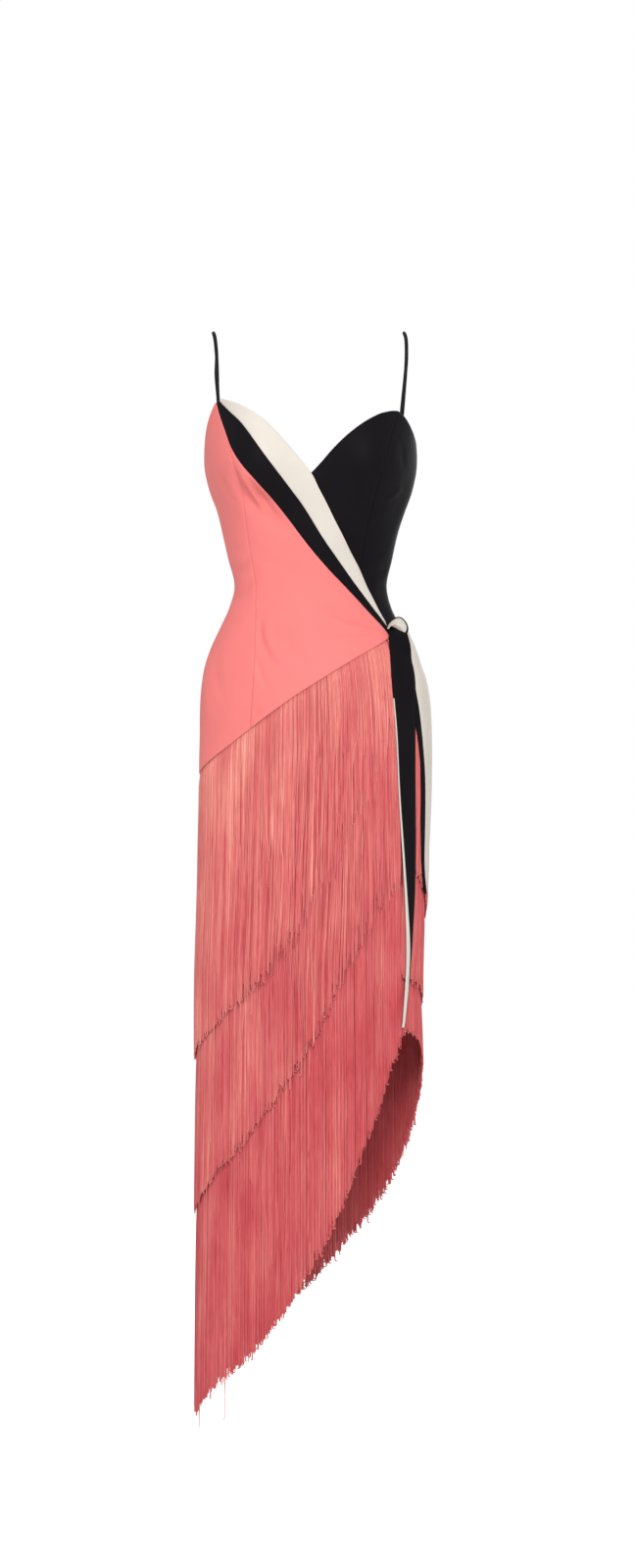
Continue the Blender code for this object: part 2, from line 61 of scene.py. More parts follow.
# %% a smooth curve through the rows of a table
def curve(table, x):
    """The other columns of a table at each x, smooth through its rows."""
    rows = np.array(table, float)
    at, step = rows[:, 0], np.diff(rows[:, 0])
    slope = np.empty_like(rows[:, 1:])
    rise = np.diff(rows[:, 1:], axis=0)
    slope[0], slope[-1] = rise[0] / step[0], rise[-1] / step[-1]
    slope[1:-1] = (rows[2:, 1:] - rows[:-2, 1:]) / (at[2:] - at[:-2])[:, None]
    x = np.clip(np.asarray(x, float), at[0], at[-1])
    k = np.clip(np.searchsorted(at, x, side="right") - 1, 0, len(at) - 2)
    t = ((x - at[k]) / step[k])[..., None]
    h = step[k][..., None]
    low, high = rows[k, 1:], rows[k + 1, 1:]
    return ((2 * t**3 - 3 * t**2 + 1) * low + (t**3 - 2 * t**2 + t) * h * slope[k]
            + (3 * t**2 - 2 * t**3) * high + (t**3 - t**2) * h * slope[k + 1])


# %% the rings, in millimetres
RINGS = (
    # drop, right, left, front, back
    (60, -134, 134, 96, 96), (130, -139, 139, 101, 104), (178, -141, 141, 102, 105),
    (211, -134.5, 135, 99, 101), (239, -124.5, 125.5, 94, 95), (269, -117, 116, 90, 87),
    (302, -109, 108, 86, 80), (337, -101, 101, 84, 76), (367, -108, 107, 87, 80),
    (393, -120, 120, 92, 90), (419, -132, 135, 97, 101), (445, -140.5, 147.5, 101, 110),
    (471, -144.5, 155, 104, 117), (503, -147, 159, 106, 122), (550, -147.5, 160, 107, 125),
    (740, -151, 155.5, 107, 122), (861, -154.5, 149.7, 107, 120), (1000, -154.7, 149.5, 107, 120),
    (1460, -154.7, 149.5, 107, 120),
)
# where each cup is fullest, how full, and how far it fades to the sides, up and down
CUP_OUT, CUP_DROP, CUP_FULLNESS, CUP_WIDTH, CUP_ABOVE, CUP_BELOW = 96, 182, 50, 42, 50, 46
print("rings:", len(RINGS), "from drop", RINGS[0][0], "to", RINGS[-1][0], "mm")


# %% places on the form
def ease(t):
    """A soft step from 0 to 1."""
    t = np.clip(t, 0, 1)
    return t * t * (3 - 2 * t)


def form(angle, drop):
    """Points of the worn form, in mm."""
    right, left, front, back = np.moveaxis(curve(RINGS, drop), -1, 0)
    turn = np.radians(angle)
    x = (left + right) / 2 + (left - right) / 2 * np.sin(turn)
    ahead = np.cos(turn)
    y = -np.where(ahead > 0, front, back) * ahead
    fade = np.where(drop < CUP_DROP, CUP_ABOVE, CUP_BELOW)
    high = np.exp(-((drop - CUP_DROP) / fade) ** 2 / 2) * np.maximum(ahead, 0)
    for cup in (-CUP_OUT, CUP_OUT):
        y = y - CUP_FULLNESS * high * np.exp(-((x - cup) / CUP_WIDTH) ** 2 / 2)
    return np.stack([x, y, -drop + 0 * x], -1)


def skin(angle, drop, out=0.0):
    """The form's points, in metres, moved out along its normal."""
    angle, drop, out = np.broadcast_arrays(np.asarray(angle, float), drop, out)
    across = form(angle + 0.5, drop) - form(angle - 0.5, drop)
    down = form(angle, drop + 1) - form(angle, drop - 1)
    normal = np.cross(down, across)
    normal /= np.linalg.norm(normal, axis=-1, keepdims=True)
    return (form(angle, drop) + normal * out[..., None]) * MM


WAIST_DROP = 337
print("waist is", round(float(np.ptp(form(np.array([-90, 90]), WAIST_DROP)[:, 0]))), "mm wide")

# %% [markdown]
# ## Camera, light and floor
# The camera looks level at the middle of the dress from seven metres, so that near and far sides look
# equally large. A big soft light stands high at the front right and a weaker one at the left, and the pale
# room fills the rest. One bright lamp would be simpler, but its hard shadows would hide the fine cords.

# %% camera
VIEW_CENTRE, VIEW_BACK, VIEW_HIGH = (0.00845, 0.0, -0.6006), 7.0, 2.08
camera_data = bpy.data.cameras.new("camera")
camera_data.sensor_width = 36
camera_data.lens = camera_data.sensor_width * VIEW_BACK / VIEW_HIGH
camera = bpy.data.objects.new("camera", camera_data)
bpy.context.scene.collection.objects.link(camera)
camera.location = (VIEW_CENTRE[0], -VIEW_BACK, VIEW_CENTRE[2])
camera.rotation_euler = (math.pi / 2, 0, 0)
bpy.context.scene.camera = camera
print("camera:", round(camera_data.lens), "mm lens,", VIEW_BACK, "m away")

# %% soft studio light
ROOM = 1.0
LIGHTS = (
    # name, place, size, power
    ("key_light", (0.3, -3.2, 1.7), 1.2, 150),
    ("fill_light", (-2.6, -3.2, 0.3), 2.0, 22),
    ("back_light", (1.2, 3.8, 0.4), 2.0, 60),
)
world = bpy.data.worlds.new("pale_room")
world.use_nodes = True
world.node_tree.nodes["Background"].inputs["Color"].default_value = (1, 1, 1, 1)
world.node_tree.nodes["Background"].inputs["Strength"].default_value = ROOM
bpy.context.scene.world = world
bpy.context.scene.view_settings.view_transform = "Standard"
for name, place, size, power in LIGHTS:
    lamp = bpy.data.lights.new(name, "AREA")
    lamp.size, lamp.energy = size, power
    stand = bpy.data.objects.new(name, lamp)
    bpy.context.scene.collection.objects.link(stand)
    stand.location = place
    stand.rotation_euler = (Vector(VIEW_CENTRE) - Vector(place)).to_track_quat("-Z", "Y").to_euler()
    print(name, power, "W,", size, "m wide")

# %% a plain pale floor
FLOOR_DROP = 1512
bpy.ops.mesh.primitive_plane_add(size=40, location=(0, 0, -FLOOR_DROP * MM))
floor = bpy.context.object
floor.name = "floor"
floor_paint = bpy.data.materials.new("pale_floor")
floor_paint.use_nodes = True
for setting, value in (("Base Color", (1, 1, 1, 1)), ("Roughness", 1.0), ("Specular IOR Level", 0.0)):
    floor_paint.node_tree.nodes["Principled BSDF"].inputs[setting].default_value = value
floor.data.materials.append(floor_paint)
floor.select_set(False)
print("floor:", FLOOR_DROP, "mm below the shoulder line")

# %% [markdown]
# ## Crepe
# The bodice and the sash are a heavy crepe with a weak gloss, finely pebbled up close and one even colour
# from a step away. So the finish is a base colour with slight cloudiness and a bump finer than a
# millimetre. A picture of cloth could be laid over each piece, but noise needs no file and has no seam. The
# index of refraction is set low, as smooth plastic goes far paler at the edge of a fold than cloth does.

# %% helpers for shaders
CLOTH_IOR, CLOTH_ROUGH = 1.22, 0.6


def node(tree, kind, **settings):
    """A shader node with its settings. An output given for an input is linked to it."""
    made = tree.nodes.new(kind)
    for name, value in settings.items():
        if name not in made.inputs:
            setattr(made, name, value)
        elif isinstance(value, bpy.types.NodeSocket):
            tree.links.new(value, made.inputs[name])
        else:
            made.inputs[name].default_value = value
    return made


def ramp(tree, level, stops):
    """The colour that a ramp with these stops gives at a level."""
    made = node(tree, "ShaderNodeValToRGB", Fac=level)
    for place, colour in stops[1:-1]:
        made.color_ramp.elements.new(place)
    for element, (place, colour) in zip(made.color_ramp.elements, stops):
        element.position, element.color = place, colour
    return made.outputs["Color"]


def material(name, finish, shine=0.5):
    """A material with a cloth's gloss. finish gives its colour and bump."""
    made = bpy.data.materials.new(name)
    made.use_nodes = True
    tree = made.node_tree
    shader = tree.nodes["Principled BSDF"]
    shader.inputs["Roughness"].default_value = CLOTH_ROUGH
    shader.inputs["Specular IOR Level"].default_value = shine
    shader.inputs["IOR"].default_value = CLOTH_IOR
    colour, height, strength, high = finish(tree, node(tree, "ShaderNodeTexCoord").outputs)
    bump = node(tree, "ShaderNodeBump", Strength=strength, Distance=high, Height=height)
    tree.links.new(colour, shader.inputs["Base Color"])
    tree.links.new(bump.outputs["Normal"], shader.inputs["Normal"])
    print(name, "has", len(tree.nodes), "nodes")
    return made


# %% crepe
CLOUDS, GRAINS, GRAIN_HIGH = 9.0, 1500.0, 0.0002       # the first two to the metre, the last in metres


def crepe(dark, light, pebble=0.25):
    """The finish of crepe between two shades of a colour."""
    def finish(tree, place):
        cloud = node(tree, "ShaderNodeTexNoise", Scale=CLOUDS, Detail=3.0, Vector=place["Object"])
        grain = node(tree, "ShaderNodeTexNoise", Scale=GRAINS, Detail=1.0, Vector=place["Object"])
        colour = ramp(tree, cloud.outputs["Fac"], ((0.3, dark), (0.7, light)))
        return colour, grain.outputs["Fac"], pebble, GRAIN_HIGH
    return finish


CORAL = material("coral_crepe", crepe((0.47, 0.115, 0.108, 1), (0.505, 0.124, 0.117, 1)))
BLACK = material("black_crepe", crepe((0.0036, 0.003, 0.0039, 1), (0.005, 0.0042, 0.0054, 1)), shine=0.12)
IVORY = material("ivory_crepe", crepe((0.375, 0.343, 0.305, 1), (0.408, 0.375, 0.335, 1)))
STRAP = material("black_cord", crepe((0.005, 0.0042, 0.0052, 1), (0.006, 0.005, 0.006, 1), 0), shine=0.3)

# %% [markdown]
# ## Cutting a panel
# A tailor's panel has four edges. Each is a smooth line on the form here, with a grid between them that
# leans from edge to edge and is finer at the edges, where the cloth turns over into a seam. Cloth simulation
# would also drape a panel, but a fitted bodice is held by its seams, so its soft creases are pressed in one
# by one from a list. The sheet then gets its thickness from a Solidify modifier.

# %% lines on the form
FINE_STEPS = 60            # points to one piece of a curve, while its length is measured
EDGE_ROWS, EDGE_CLEAR = (0.7, 1.7, 3.2), 1.4       # extra rows at an edge, mm, and how they push others away


def run_along(points, axis, size=1):
    """How far along its row each point is, from the first."""
    steps = np.linalg.norm(np.diff(points, axis=axis), axis=-1) / size
    return np.insert(np.cumsum(steps, axis), 0, 0, axis)


def line(points, shares):
    """Points of the smooth curve through (angle, drop) pairs, at these shares of its length."""
    numbered = [(n, *p) for n, p in enumerate(points)]
    fine = curve(numbered, np.linspace(0, len(points) - 1, FINE_STEPS * len(points)))
    run = run_along(skin(fine[:, 0], fine[:, 1]), 0)
    goal = np.asarray(shares) * run[-1]
    return np.stack([np.interp(goal, run, fine[:, c]) for c in (0, 1)], -1)


def shares(count, size):
    """Shares from 0 to 1 for count even steps over size mm, with extra ones at both edges."""
    near = np.array(EDGE_ROWS) / size
    middle = np.linspace(0, 1, count + 1)[1:-1]
    middle = middle[(middle > near[-1] * EDGE_CLEAR) & (middle < 1 - near[-1] * EDGE_CLEAR)]
    return np.concatenate([[0], near, middle, 1 - near[::-1], [1]])


def patch(top, bottom, left, right, across, down):
    """Grid of (angle, drop) between four lines, each way with a count of steps and a size in mm."""
    s, t = shares(*across), shares(*down)
    top, bottom = line(top, s), line(bottom, s)
    left, right = line(left, t), line(right, t)
    s, t = s[None, :, None], t[:, None, None]
    return ((1 - t) * top[None] + t * bottom[None] + (1 - s) * left[:, None] + s * right[:, None]
            - (1 - s) * (1 - t) * top[0] - s * (1 - t) * top[-1]
            - (1 - s) * t * bottom[0] - s * t * bottom[-1])


print("rows down a long panel:", len(shares(90, 400)))

# %% creases, pressed in one by one
ROUND_SIZE = 2.2           # millimetres of cloth to one degree round the body
CREASES = (
    # from angle, drop, to angle, drop, half width mm, depth mm (a ridge is below 0)
    # below the wearer's right cup, at both sides of the princess seam
    (-47, 184, -37, 244, 6, 3.6), (-41, 190, -30, 250, 5, -2.6), (-36, 202, -22, 250, 5, 3),
    (-50, 200, -12, 270, 14, 7), (-40, 206, -22, 236, 8, 3), (-30, 214, -14, 250, 5, 1.6),
    (-24, 226, -4, 266, 5, -1.2), (-60, 196, -50, 236, 7, 1.4), (-84, 200, -60, 232, 9, 1.2),
    (-78, 176, -66, 214, 5, -0.9),
    # at the waist
    (-72, 322, -46, 305, 5, 2.6), (-78, 338, -50, 324, 5, -1.6), (-81, 354, -51, 341, 5.5, 2.6),
    (-84, 366, -56, 366, 6, -1), (-76, 292, -52, 286, 6, 1.2), (-44, 338, -8, 352, 7, 0.8),
    (-44, 356, -10, 378, 8, 0.9), (-40, 300, -12, 318, 9, 0.8),
    # over the hip and down to the fringe
    (-36, 380, -20, 446, 6, 2.8), (-30, 384, -13, 452, 6, -1.6), (-31, 428, -24, 478, 5, 2),
    (-33, 440, -27, 482, 4, -1), (-32, 496, -27, 514, 4, 1.6), (-66, 420, -50, 500, 10, 1.4),
    (-78, 430, -64, 520, 9, -1), (-16, 400, -2, 452, 8, 1),
    # drawn towards the knot
    (10, 370, 48, 391, 6, 2.4), (16, 386, 48, 400, 5, -1.6), (4, 404, 46, 405, 5, 1.9),
    (20, 352, 42, 376, 5, -1.3), (66, 212, 50, 240, 4, -1.6), (50, 238, 43, 262, 4, -1.2),
    (60, 226, 44, 250, 4.5, 1.4), (42, 248, 26, 246, 4, 0.9), (42, 262, 24, 268, 4.5, 0.9),
    (40, 286, 28, 292, 4, 0.7), (46, 300, 70, 288, 5, 1.2), (44, 322, 78, 316, 6, 1.3),
    (48, 340, 88, 338, 6, 1.2), (50, 331, 84, 326, 4, -0.8), (56, 150, 52, 182, 4, -0.8),
    (62, 152, 64, 190, 5, 0.9),
    # on the back
    (100, 330, 150, 345, 7, 1.6), (105, 352, 160, 338, 7, 1.4), (200, 340, 250, 330, 7, 1.6),
    (196, 356, 244, 352, 8, 1.4), (172, 372, 150, 430, 8, 1.6), (188, 380, 204, 440, 8, 1.6),
    (110, 240, 132, 300, 8, 1.3), (250, 236, 230, 290, 8, 1.3), (120, 330, 166, 326, 5, -0.9),
    (206, 348, 238, 342, 5, -0.9), (214, 390, 232, 470, 9, 1.3), (240, 400, 248, 500, 9, -1),
)
CREASE_BOW = 0.06          # how far a crease bows sideways, as a share of its length
print("creases:", len(CREASES), "of them ridges:", sum(row[-1] < 0 for row in CREASES))


# %% how far the cloth sinks and waves
def pressed(angle, drop):
    """How far the creases sink the cloth, in mm."""
    sunk = np.zeros(np.broadcast(angle, drop).shape)
    for a0, d0, a1, d1, wide, deep in CREASES:
        along = np.array([(a1 - a0) * ROUND_SIZE, d1 - d0])
        long = np.linalg.norm(along)
        u, v = (angle - a0) * ROUND_SIZE, drop - d0
        share = (u * along[0] + v * along[1]) / long**2
        aside = (u * along[1] - v * along[0]) / long
        aside = aside + CREASE_BOW * long * np.sin(np.pi * np.clip(share, 0, 1))
        fade = np.clip(np.sin(np.pi * np.clip(share * 0.9 + 0.05, 0, 1)), 0, 1) ** 0.8
        sunk += deep * fade * np.exp(-(aside / wide) ** 2)
    return sunk


def uneven(angle, drop):
    """The slight waviness of worn cloth, in mm."""
    u, v = angle * ROUND_SIZE, drop
    return (0.28 * np.sin(u / 17 + 1.3 * np.sin(v / 41)) * np.sin(v / 29 + 0.7)
            + 0.18 * np.sin(u / 9 + v / 23) + 0.12 * np.sin(v / 13 - u / 31))


print("under the right cup it sinks", round(float(pressed(-34, 230)), 1), "mm")


# %% meshes from grids
def quads(down, across):
    """The faces of a grid, facing out."""
    a = (np.arange(down - 1)[:, None] * across + np.arange(across - 1)).ravel()
    return np.stack([a, a + across, a + across + 1, a + 1], -1)


def add_mesh(name, points, faces, cloth, uv=None):
    """A smooth-shaded piece of the dress, with each point's place on the cloth if uv is given."""
    mesh = bpy.data.meshes.new(name)
    mesh.from_pydata(points.reshape(-1, 3).tolist(), [], faces)
    mesh.materials.append(cloth)
    if uv is not None:
        layer = mesh.uv_layers.new(name="cloth")
        corners = np.empty(len(mesh.loops), np.int32)
        mesh.loops.foreach_get("vertex_index", corners)
        layer.data.foreach_set("uv", uv.reshape(-1, 2)[corners].astype(np.float32).ravel())
    made = bpy.data.objects.new(name, mesh)
    bpy.context.scene.collection.objects.link(made)
    mesh.polygons.foreach_set("use_smooth", [True] * len(mesh.polygons))
    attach(made, "root")
    return made


def thicken(piece, thick):
    """A Solidify modifier, applied, that gives a sheet its thickness on the inside."""
    bpy.context.view_layer.objects.active = piece
    solid = piece.modifiers.new("thickness", "SOLIDIFY")
    solid.thickness, solid.offset, solid.use_even_offset = thick * MM, -1, False
    bpy.ops.object.modifier_apply(modifier=solid.name)


# %% the flat cut
SEAM_DIP, SEAM_WIDE = 0.8, 1.3         # how an edge turns down into its seam, mm


def side_runs(points):
    """Each point's distance along the cloth from its left, right, top and bottom edge, in mm."""
    runs = []
    for axis in (1, 0):
        run = run_along(points, axis, MM)
        runs += [run, run.take([-1], axis) - run]
    return runs


# %% making a sheet
CLOTH = 1.1                # thickness of the cloth, mm


def sheet(name, grid, cloth, out=0.0, thick=CLOTH, dips=(1, 1, 1, 1), crease=1.0,
          lining=None, reversed_cells=None):
    """A thin sheet over a grid of (angle, drop). dips says how far its left, right, top and bottom turn
    down. A lining shows on the reversed cells and on the back of the others."""
    angle, drop = grid[..., 0], grid[..., 1]
    depth = out(angle, drop) if callable(out) else out
    runs = side_runs(skin(angle, drop, depth))
    turned = sum(dip * SEAM_DIP * np.exp(-(run / SEAM_WIDE) ** 2) for dip, run in zip(dips, runs))
    points = skin(angle, drop, depth - turned - crease * (pressed(angle, drop) + uneven(angle, drop)))
    uv = np.stack([angle * ROUND_SIZE * MM, -drop * MM], -1)
    piece = add_mesh(name + "_cloth", points, quads(*angle.shape).tolist(), cloth, uv)
    if lining:
        piece.data.materials.append(lining)
        piece.data.polygons.foreach_set("material_index", reversed_cells.ravel().astype(np.int32))
    thicken(piece, thick)
    if lining:
        for face in piece.data.polygons[reversed_cells.size:2 * reversed_cells.size]:
            face.material_index = 1 - face.material_index
    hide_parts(name)
    return piece


# %% [markdown]
# ## The bodice
# The wearer's right front is coral and crosses over to the left hip. A black and an ivory band edge it and
# narrow towards the knot. The left front is black and lies under the wrap. Both fronts have a princess
# seam, a long seam over the fullest point of the bust that gives the shape without darts. One sheet could
# be painted in three colours, but here each cut piece is a sheet, so the seams are real grooves.

# %% seam lines of the bodice
RIGHT_SIDE, LEFT_SIDE, CENTRE_BACK, ROUND = -90, 90, 180, 360
SIDE_TOP, BACK_TOP, STRAP_BACK = 150, 206, (122, 160)
SEAM = (
    (-90, 588), (-73, 577), (-55, 559), (-38, 535), (-23, 509), (-8, 482), (10, 454), (27, 432),
    (50, 411), (70, 397), (90, 385), (120, 402), (150, 436), (180, 478), (210, 524), (240, 566),
    (270, 588),
)
PINK_TOP, BAND_TOP, IVORY_TOP, NECK_TOP = (-69.5, 101), (-66.5, 98), (-63.0, 95), (-60.5, 93)
PINK_EDGE = (BAND_TOP, (-55, 134), (-48, 160), (-41, 181), (-27, 219), (-12, 260), (1.2, 294), (13.8, 320),
             (27.8, 343), (41.6, 368), (51.6, 391))
IVORY_EDGE = (IVORY_TOP, (-51, 111), (-39, 132), (-24, 174), (-9, 223), (7, 274), (18, 302), (28, 323),
              (45, 356), (54, 378), (58, 393))
NECK_EDGE = (NECK_TOP, (-51, 97), (-41, 104), (-31, 116), (-21, 134), (-11, 160), (0, 193), (5, 216),
             (13, 247), (21, 272), (30, 298), (39.4, 320), (49.6, 345), (55.6, 366), (58.6, 385))
RIGHT_PRINCESS = ((-48.7, 165), (-46, 190), (-45, 233), (-46, 281), (-46, 343), (-38, 392), (-33, 436),
                  (-33, 485))
PRINCESS_FOOT, WRAP_FOOT = -34, 56
CUP_CORNER = (59, 109)
LEFT_PRINCESS = (CUP_CORNER, (55, 124), (47, 162), (43, 192), (41, 230), (41, 281), (40, 343), (33, 404))
CUP_NECK = ((3, 187), (12, 161), (21, 141), (31, 125), (42, 114), (52, 109.5), CUP_CORNER)
UNDER_EDGE = ((3, 187), (-8, 216), (-22, 258), (-36, 312), (-48, 362), (-54, 404))
UNDER_HEM, UNDER = 404, -2.9


# %% the slanting seam between bodice and skirt
def seam_drop(angle):
    """The drop of that seam at an angle."""
    return curve(SEAM, angle)[..., 0]


def at_seam(angle):
    return angle, float(seam_drop(angle))


def seam(start, end):
    """The slanting seam between two angles, as (angle, drop) pairs."""
    angles = np.linspace(start, end, 25)
    return np.stack([angles, seam_drop(angles)], -1).tolist()


print("the seam drops to", SEAM[0][1], "mm on the right,", round(at_seam(LEFT_SIDE)[1]), "on the left")

# %% the coral fronts
EDGE_POINTS = np.linspace(0, 1, 61)
MEET, TURN = 8, 11         # of the wrap edge's points: where the princess seam meets it, a corner below
pink = line([*PINK_EDGE, at_seam(WRAP_FOOT)], EDGE_POINTS).tolist()
princess = [pink[MEET], *RIGHT_PRINCESS, at_seam(PRINCESS_FOOT)]
side_seam = [(RIGHT_SIDE, SIDE_TOP), (RIGHT_SIDE, 300), (RIGHT_SIDE, 440), at_seam(RIGHT_SIDE)]
armhole = [(RIGHT_SIDE, SIDE_TOP), (-84, 134), (-76, 114), PINK_TOP, BAND_TOP]
sheet("front_right_side",
      patch(armhole + pink[2:MEET + 1], seam(RIGHT_SIDE, PRINCESS_FOOT), side_seam, princess,
            (46, 140), (90, 400)), CORAL)
sheet("front_right_wrap",
      patch(pink[MEET:TURN + 1], seam(PRINCESS_FOOT, WRAP_FOOT), princess, pink[TURN:],
            (60, 200), (90, 380)), CORAL)

# %% the two bands
ivory_edge, neck_edge = (line(edge, EDGE_POINTS).tolist() for edge in (IVORY_EDGE, NECK_EDGE))
for name, left, right, cloth in (("wrap_band_black", pink, ivory_edge, BLACK),
                                 ("wrap_band_ivory", ivory_edge, neck_edge, IVORY)):
    grid = patch([left[0], right[0]], [left[-1], right[-1]], left, right, (10, 30), (110, 430))
    sheet(name, grid, cloth)


# %% the black left front
def beneath(angle, drop):
    """The left front lies under the wrap, and level with the back at the side seam."""
    return UNDER * (1 - ease((angle - 64) / 26))


# the neck line runs on as the hidden edge below the wrap, so the two are one side of the panel
neck_and_under = [*CUP_NECK[-2:0:-1], *UNDER_EDGE]
cup_foot = [UNDER_EDGE[-1], (-10, UNDER_HEM), LEFT_PRINCESS[-1]]
sheet("front_left_cup",
      patch([CUP_NECK[-2], CUP_CORNER], cup_foot, neck_and_under, LEFT_PRINCESS,
            (46, 160), (90, 340)), BLACK, out=beneath)

# %% the black left side
left_seam = [(LEFT_SIDE, SIDE_TOP), (LEFT_SIDE, 230), (LEFT_SIDE, 310), at_seam(LEFT_SIDE)]
hem = [LEFT_PRINCESS[-1]]
hem += [(angle, min(UNDER_HEM, at_seam(angle)[1])) for angle in (45, 54, 62, 68, 74, 80, 85, LEFT_SIDE)]
sheet("front_left_side",
      patch([CUP_CORNER, (67, 116), (77, 131), (LEFT_SIDE, SIDE_TOP)], hem, LEFT_PRINCESS, left_seam,
            (26, 80), (84, 290)), BLACK, out=beneath)

# %% the backs
centre = [(CENTRE_BACK, BACK_TOP), (CENTRE_BACK, 270), (CENTRE_BACK, 370), at_seam(CENTRE_BACK)]
top = [(LEFT_SIDE, SIDE_TOP), STRAP_BACK, (150, 183), (CENTRE_BACK, BACK_TOP)]
sheet("back_left",
      patch(top, seam(LEFT_SIDE, CENTRE_BACK), left_seam, centre, (50, 190), (76, 290)), BLACK)
top = [(ROUND - angle, drop) for angle, drop in top[::-1]]
sheet("back_right",
      patch(top, seam(CENTRE_BACK, ROUND + RIGHT_SIDE), centre, [(a + ROUND, d) for a, d in side_seam],
            (50, 190), (100, 380)), CORAL)

# %% [markdown]
# ## The underskirt
# The fringe is sewn to a plain short skirt that hardly shows. It draws in a little at each strip, so that
# the upper tiers lie over the lower ones. One tube would carry them as well, but the front of a wrap skirt
# laps over its left part, so one panel runs on below the other.

# %% hems of the tiers
WRAP_ANGLE, UNDERLAP_ANGLE, UNDERLAP_DEPTH = 52, 16, 6.0
FRONT_HEMS = (
    ((-90, 962), (-73, 938), (-58, 921), (-39, 887), (-23, 852), (-11, 809), (0, 758), (9, 717),
     (17, 676), (27, 632), (38, 580), (54, 530)),
    ((-90, 1164), (-72, 1145), (-53, 1108), (-39, 1081), (-23, 1031), (-10, 985), (4, 926), (17, 848),
     (29, 790), (39, 756), (54, 730)),
    ((-90, 1423), (-80, 1426), (-72, 1418), (-61, 1399), (-40, 1369), (-27, 1339), (-12, 1290), (1, 1233),
     (14, 1167), (23, 1106), (35, 1031), (45, 968), (55, 926)),
)
BACK_HEMS = (
    ((50, 700), (68, 721), (90, 762), (120, 786), (150, 820), (180, 860), (210, 903), (240, 943),
     (270, 962)),
    ((50, 850), (68, 860), (90, 879), (120, 917), (150, 967), (180, 1026), (210, 1086), (240, 1137),
     (270, 1164)),
    ((50, 930), (62, 926), (75, 937), (90, 968), (108, 1032), (122, 1089), (137, 1142), (154, 1196),
     (174, 1256), (192, 1302), (210, 1345), (240, 1400), (270, 1423)),
)
SEW_SHARE = (0.52, 0.60)   # how far down a tier the strip of the next one lies
STRIP_HEIGHT, SKIRT_BELOW = 8, 12
TIER_STEP, SKIRT_DEPTH = 3.4, (-3.1, -6.2, -9.5)


def strip_drop(tier, hems, angle):
    """Where a tier's strip is sewn on."""
    drop = seam_drop(angle)
    for above in range(tier):
        drop = drop + SEW_SHARE[above] * (curve(hems[above], angle)[..., 0] - drop)
    return drop


for tier in range(3):
    print("tier", tier + 1, "is sewn on at", round(float(strip_drop(tier, FRONT_HEMS, 0))), "mm in front")


# %% two skirt panels
def skirt_panel(name, hems, start, end, lap):
    reach = np.linspace(start, end, 70)
    inside = np.maximum(reach, hems[0][0][0])
    first, second, third = (strip_drop(tier, hems, inside) for tier in range(3))
    share = np.linspace(0, 1, 24)[:, None]
    top, low = first + 1, third + STRIP_HEIGHT + SKIRT_BELOW
    drop = top + (low - top) * share
    at_first, at_second, at_third = SKIRT_DEPTH
    upper = at_first + (at_second - at_first) * (drop - first) / (second - first)
    lower = at_second + (at_third - at_second) * np.clip((drop - second) / (third - second), 0, 1)
    depth = np.where(drop < second, upper, lower) - lap(reach)
    grid = np.stack([np.broadcast_to(reach, drop.shape), drop], -1)
    sheet(name, grid, CORAL, out=depth, dips=(0, 0, 0, 0),
          crease=0.4)


skirt_panel("underskirt_front", FRONT_HEMS, RIGHT_SIDE, WRAP_ANGLE, lambda a: 0 * a)
skirt_panel("underskirt_left", BACK_HEMS, UNDERLAP_ANGLE, ROUND + RIGHT_SIDE,
            lambda a: UNDERLAP_DEPTH * (1 - ease((a - WRAP_ANGLE - 2) / 14)))

# %% [markdown]
# ## Fringe cord
# The fringe is a fine looped rayon cord, duller than the crepe. Its tone changes from cord to cord, and
# painted shade makes the deeper layers, the lower tiers and the gaps between bunches a deep red. So each
# cord keeps its tone, with that painted shade, as an attribute, and two noises are added: a long fine one
# along single cords, partly random tone and partly painted sheen streaks where cords catch the light, and a
# broad one that makes whole bunches lighter and darker. A bump winds round each cord for its loops. One
# colour for all would be quicker, but then the cords merge into a flat wall.

# %% fringe cord
# The low tones stand for the painted shade of deeper layers, lower tiers and gaps between bunches.
FRINGE_SHADES = (          # tone, and the colour it stands for
    (0.0, (0.26, 0.012, 0.022, 1)), (0.3, (0.365, 0.052, 0.058, 1)), (0.5, (0.42, 0.090, 0.092, 1)),
    (0.7, (0.48, 0.142, 0.122, 1)), (1.0, (0.60, 0.25, 0.20, 1)),
)
# The first row, fine and long, is partly random tone and partly painted sheen streaks where cords catch the
# light.
FRINGE_MOTTLE_AND_SHEEN = (          # spots to the metre down and across, their detail, how far they shift the tone
    (50, 520, 2.0, 0.34), (11, 30, 1.0, 0.36),
)
TWIST, TWIST_HIGH = 0.35, 0.0003       # strength of the bump, and metres from its foot to its top


def fringe(tree, place):
    """The finish of a cord: its own tone with its painted shade, the noises added to it, the fine one partly
    painted sheen, and the bump of its loops.
    """
    level = node(tree, "ShaderNodeAttribute", attribute_name="tone_and_shade").outputs["Fac"]
    for long, fine, detail, amount in FRINGE_MOTTLE_AND_SHEEN:
        stretched = node(tree, "ShaderNodeMapping", Scale=(fine, fine, long), Vector=place["Object"])
        speckle = node(tree, "ShaderNodeTexNoise", Scale=1.0, Detail=detail, Vector=stretched.outputs[0])
        weigh = node(tree, "ShaderNodeMath", operation="MULTIPLY_ADD")
        weigh.inputs[1].default_value = amount
        tree.links.new(speckle.outputs["Fac"], weigh.inputs[0])
        tree.links.new(level, weigh.inputs[2])
        level = weigh.outputs[0]
    twist = node(tree, "ShaderNodeTexWave", Scale=1.0, Distortion=0.3, bands_direction="DIAGONAL",
                 Vector=place["UV"])
    return ramp(tree, level, FRINGE_SHADES), twist.outputs["Fac"], TWIST, TWIST_HIGH


FRINGE = material("fringe_cord", fringe)
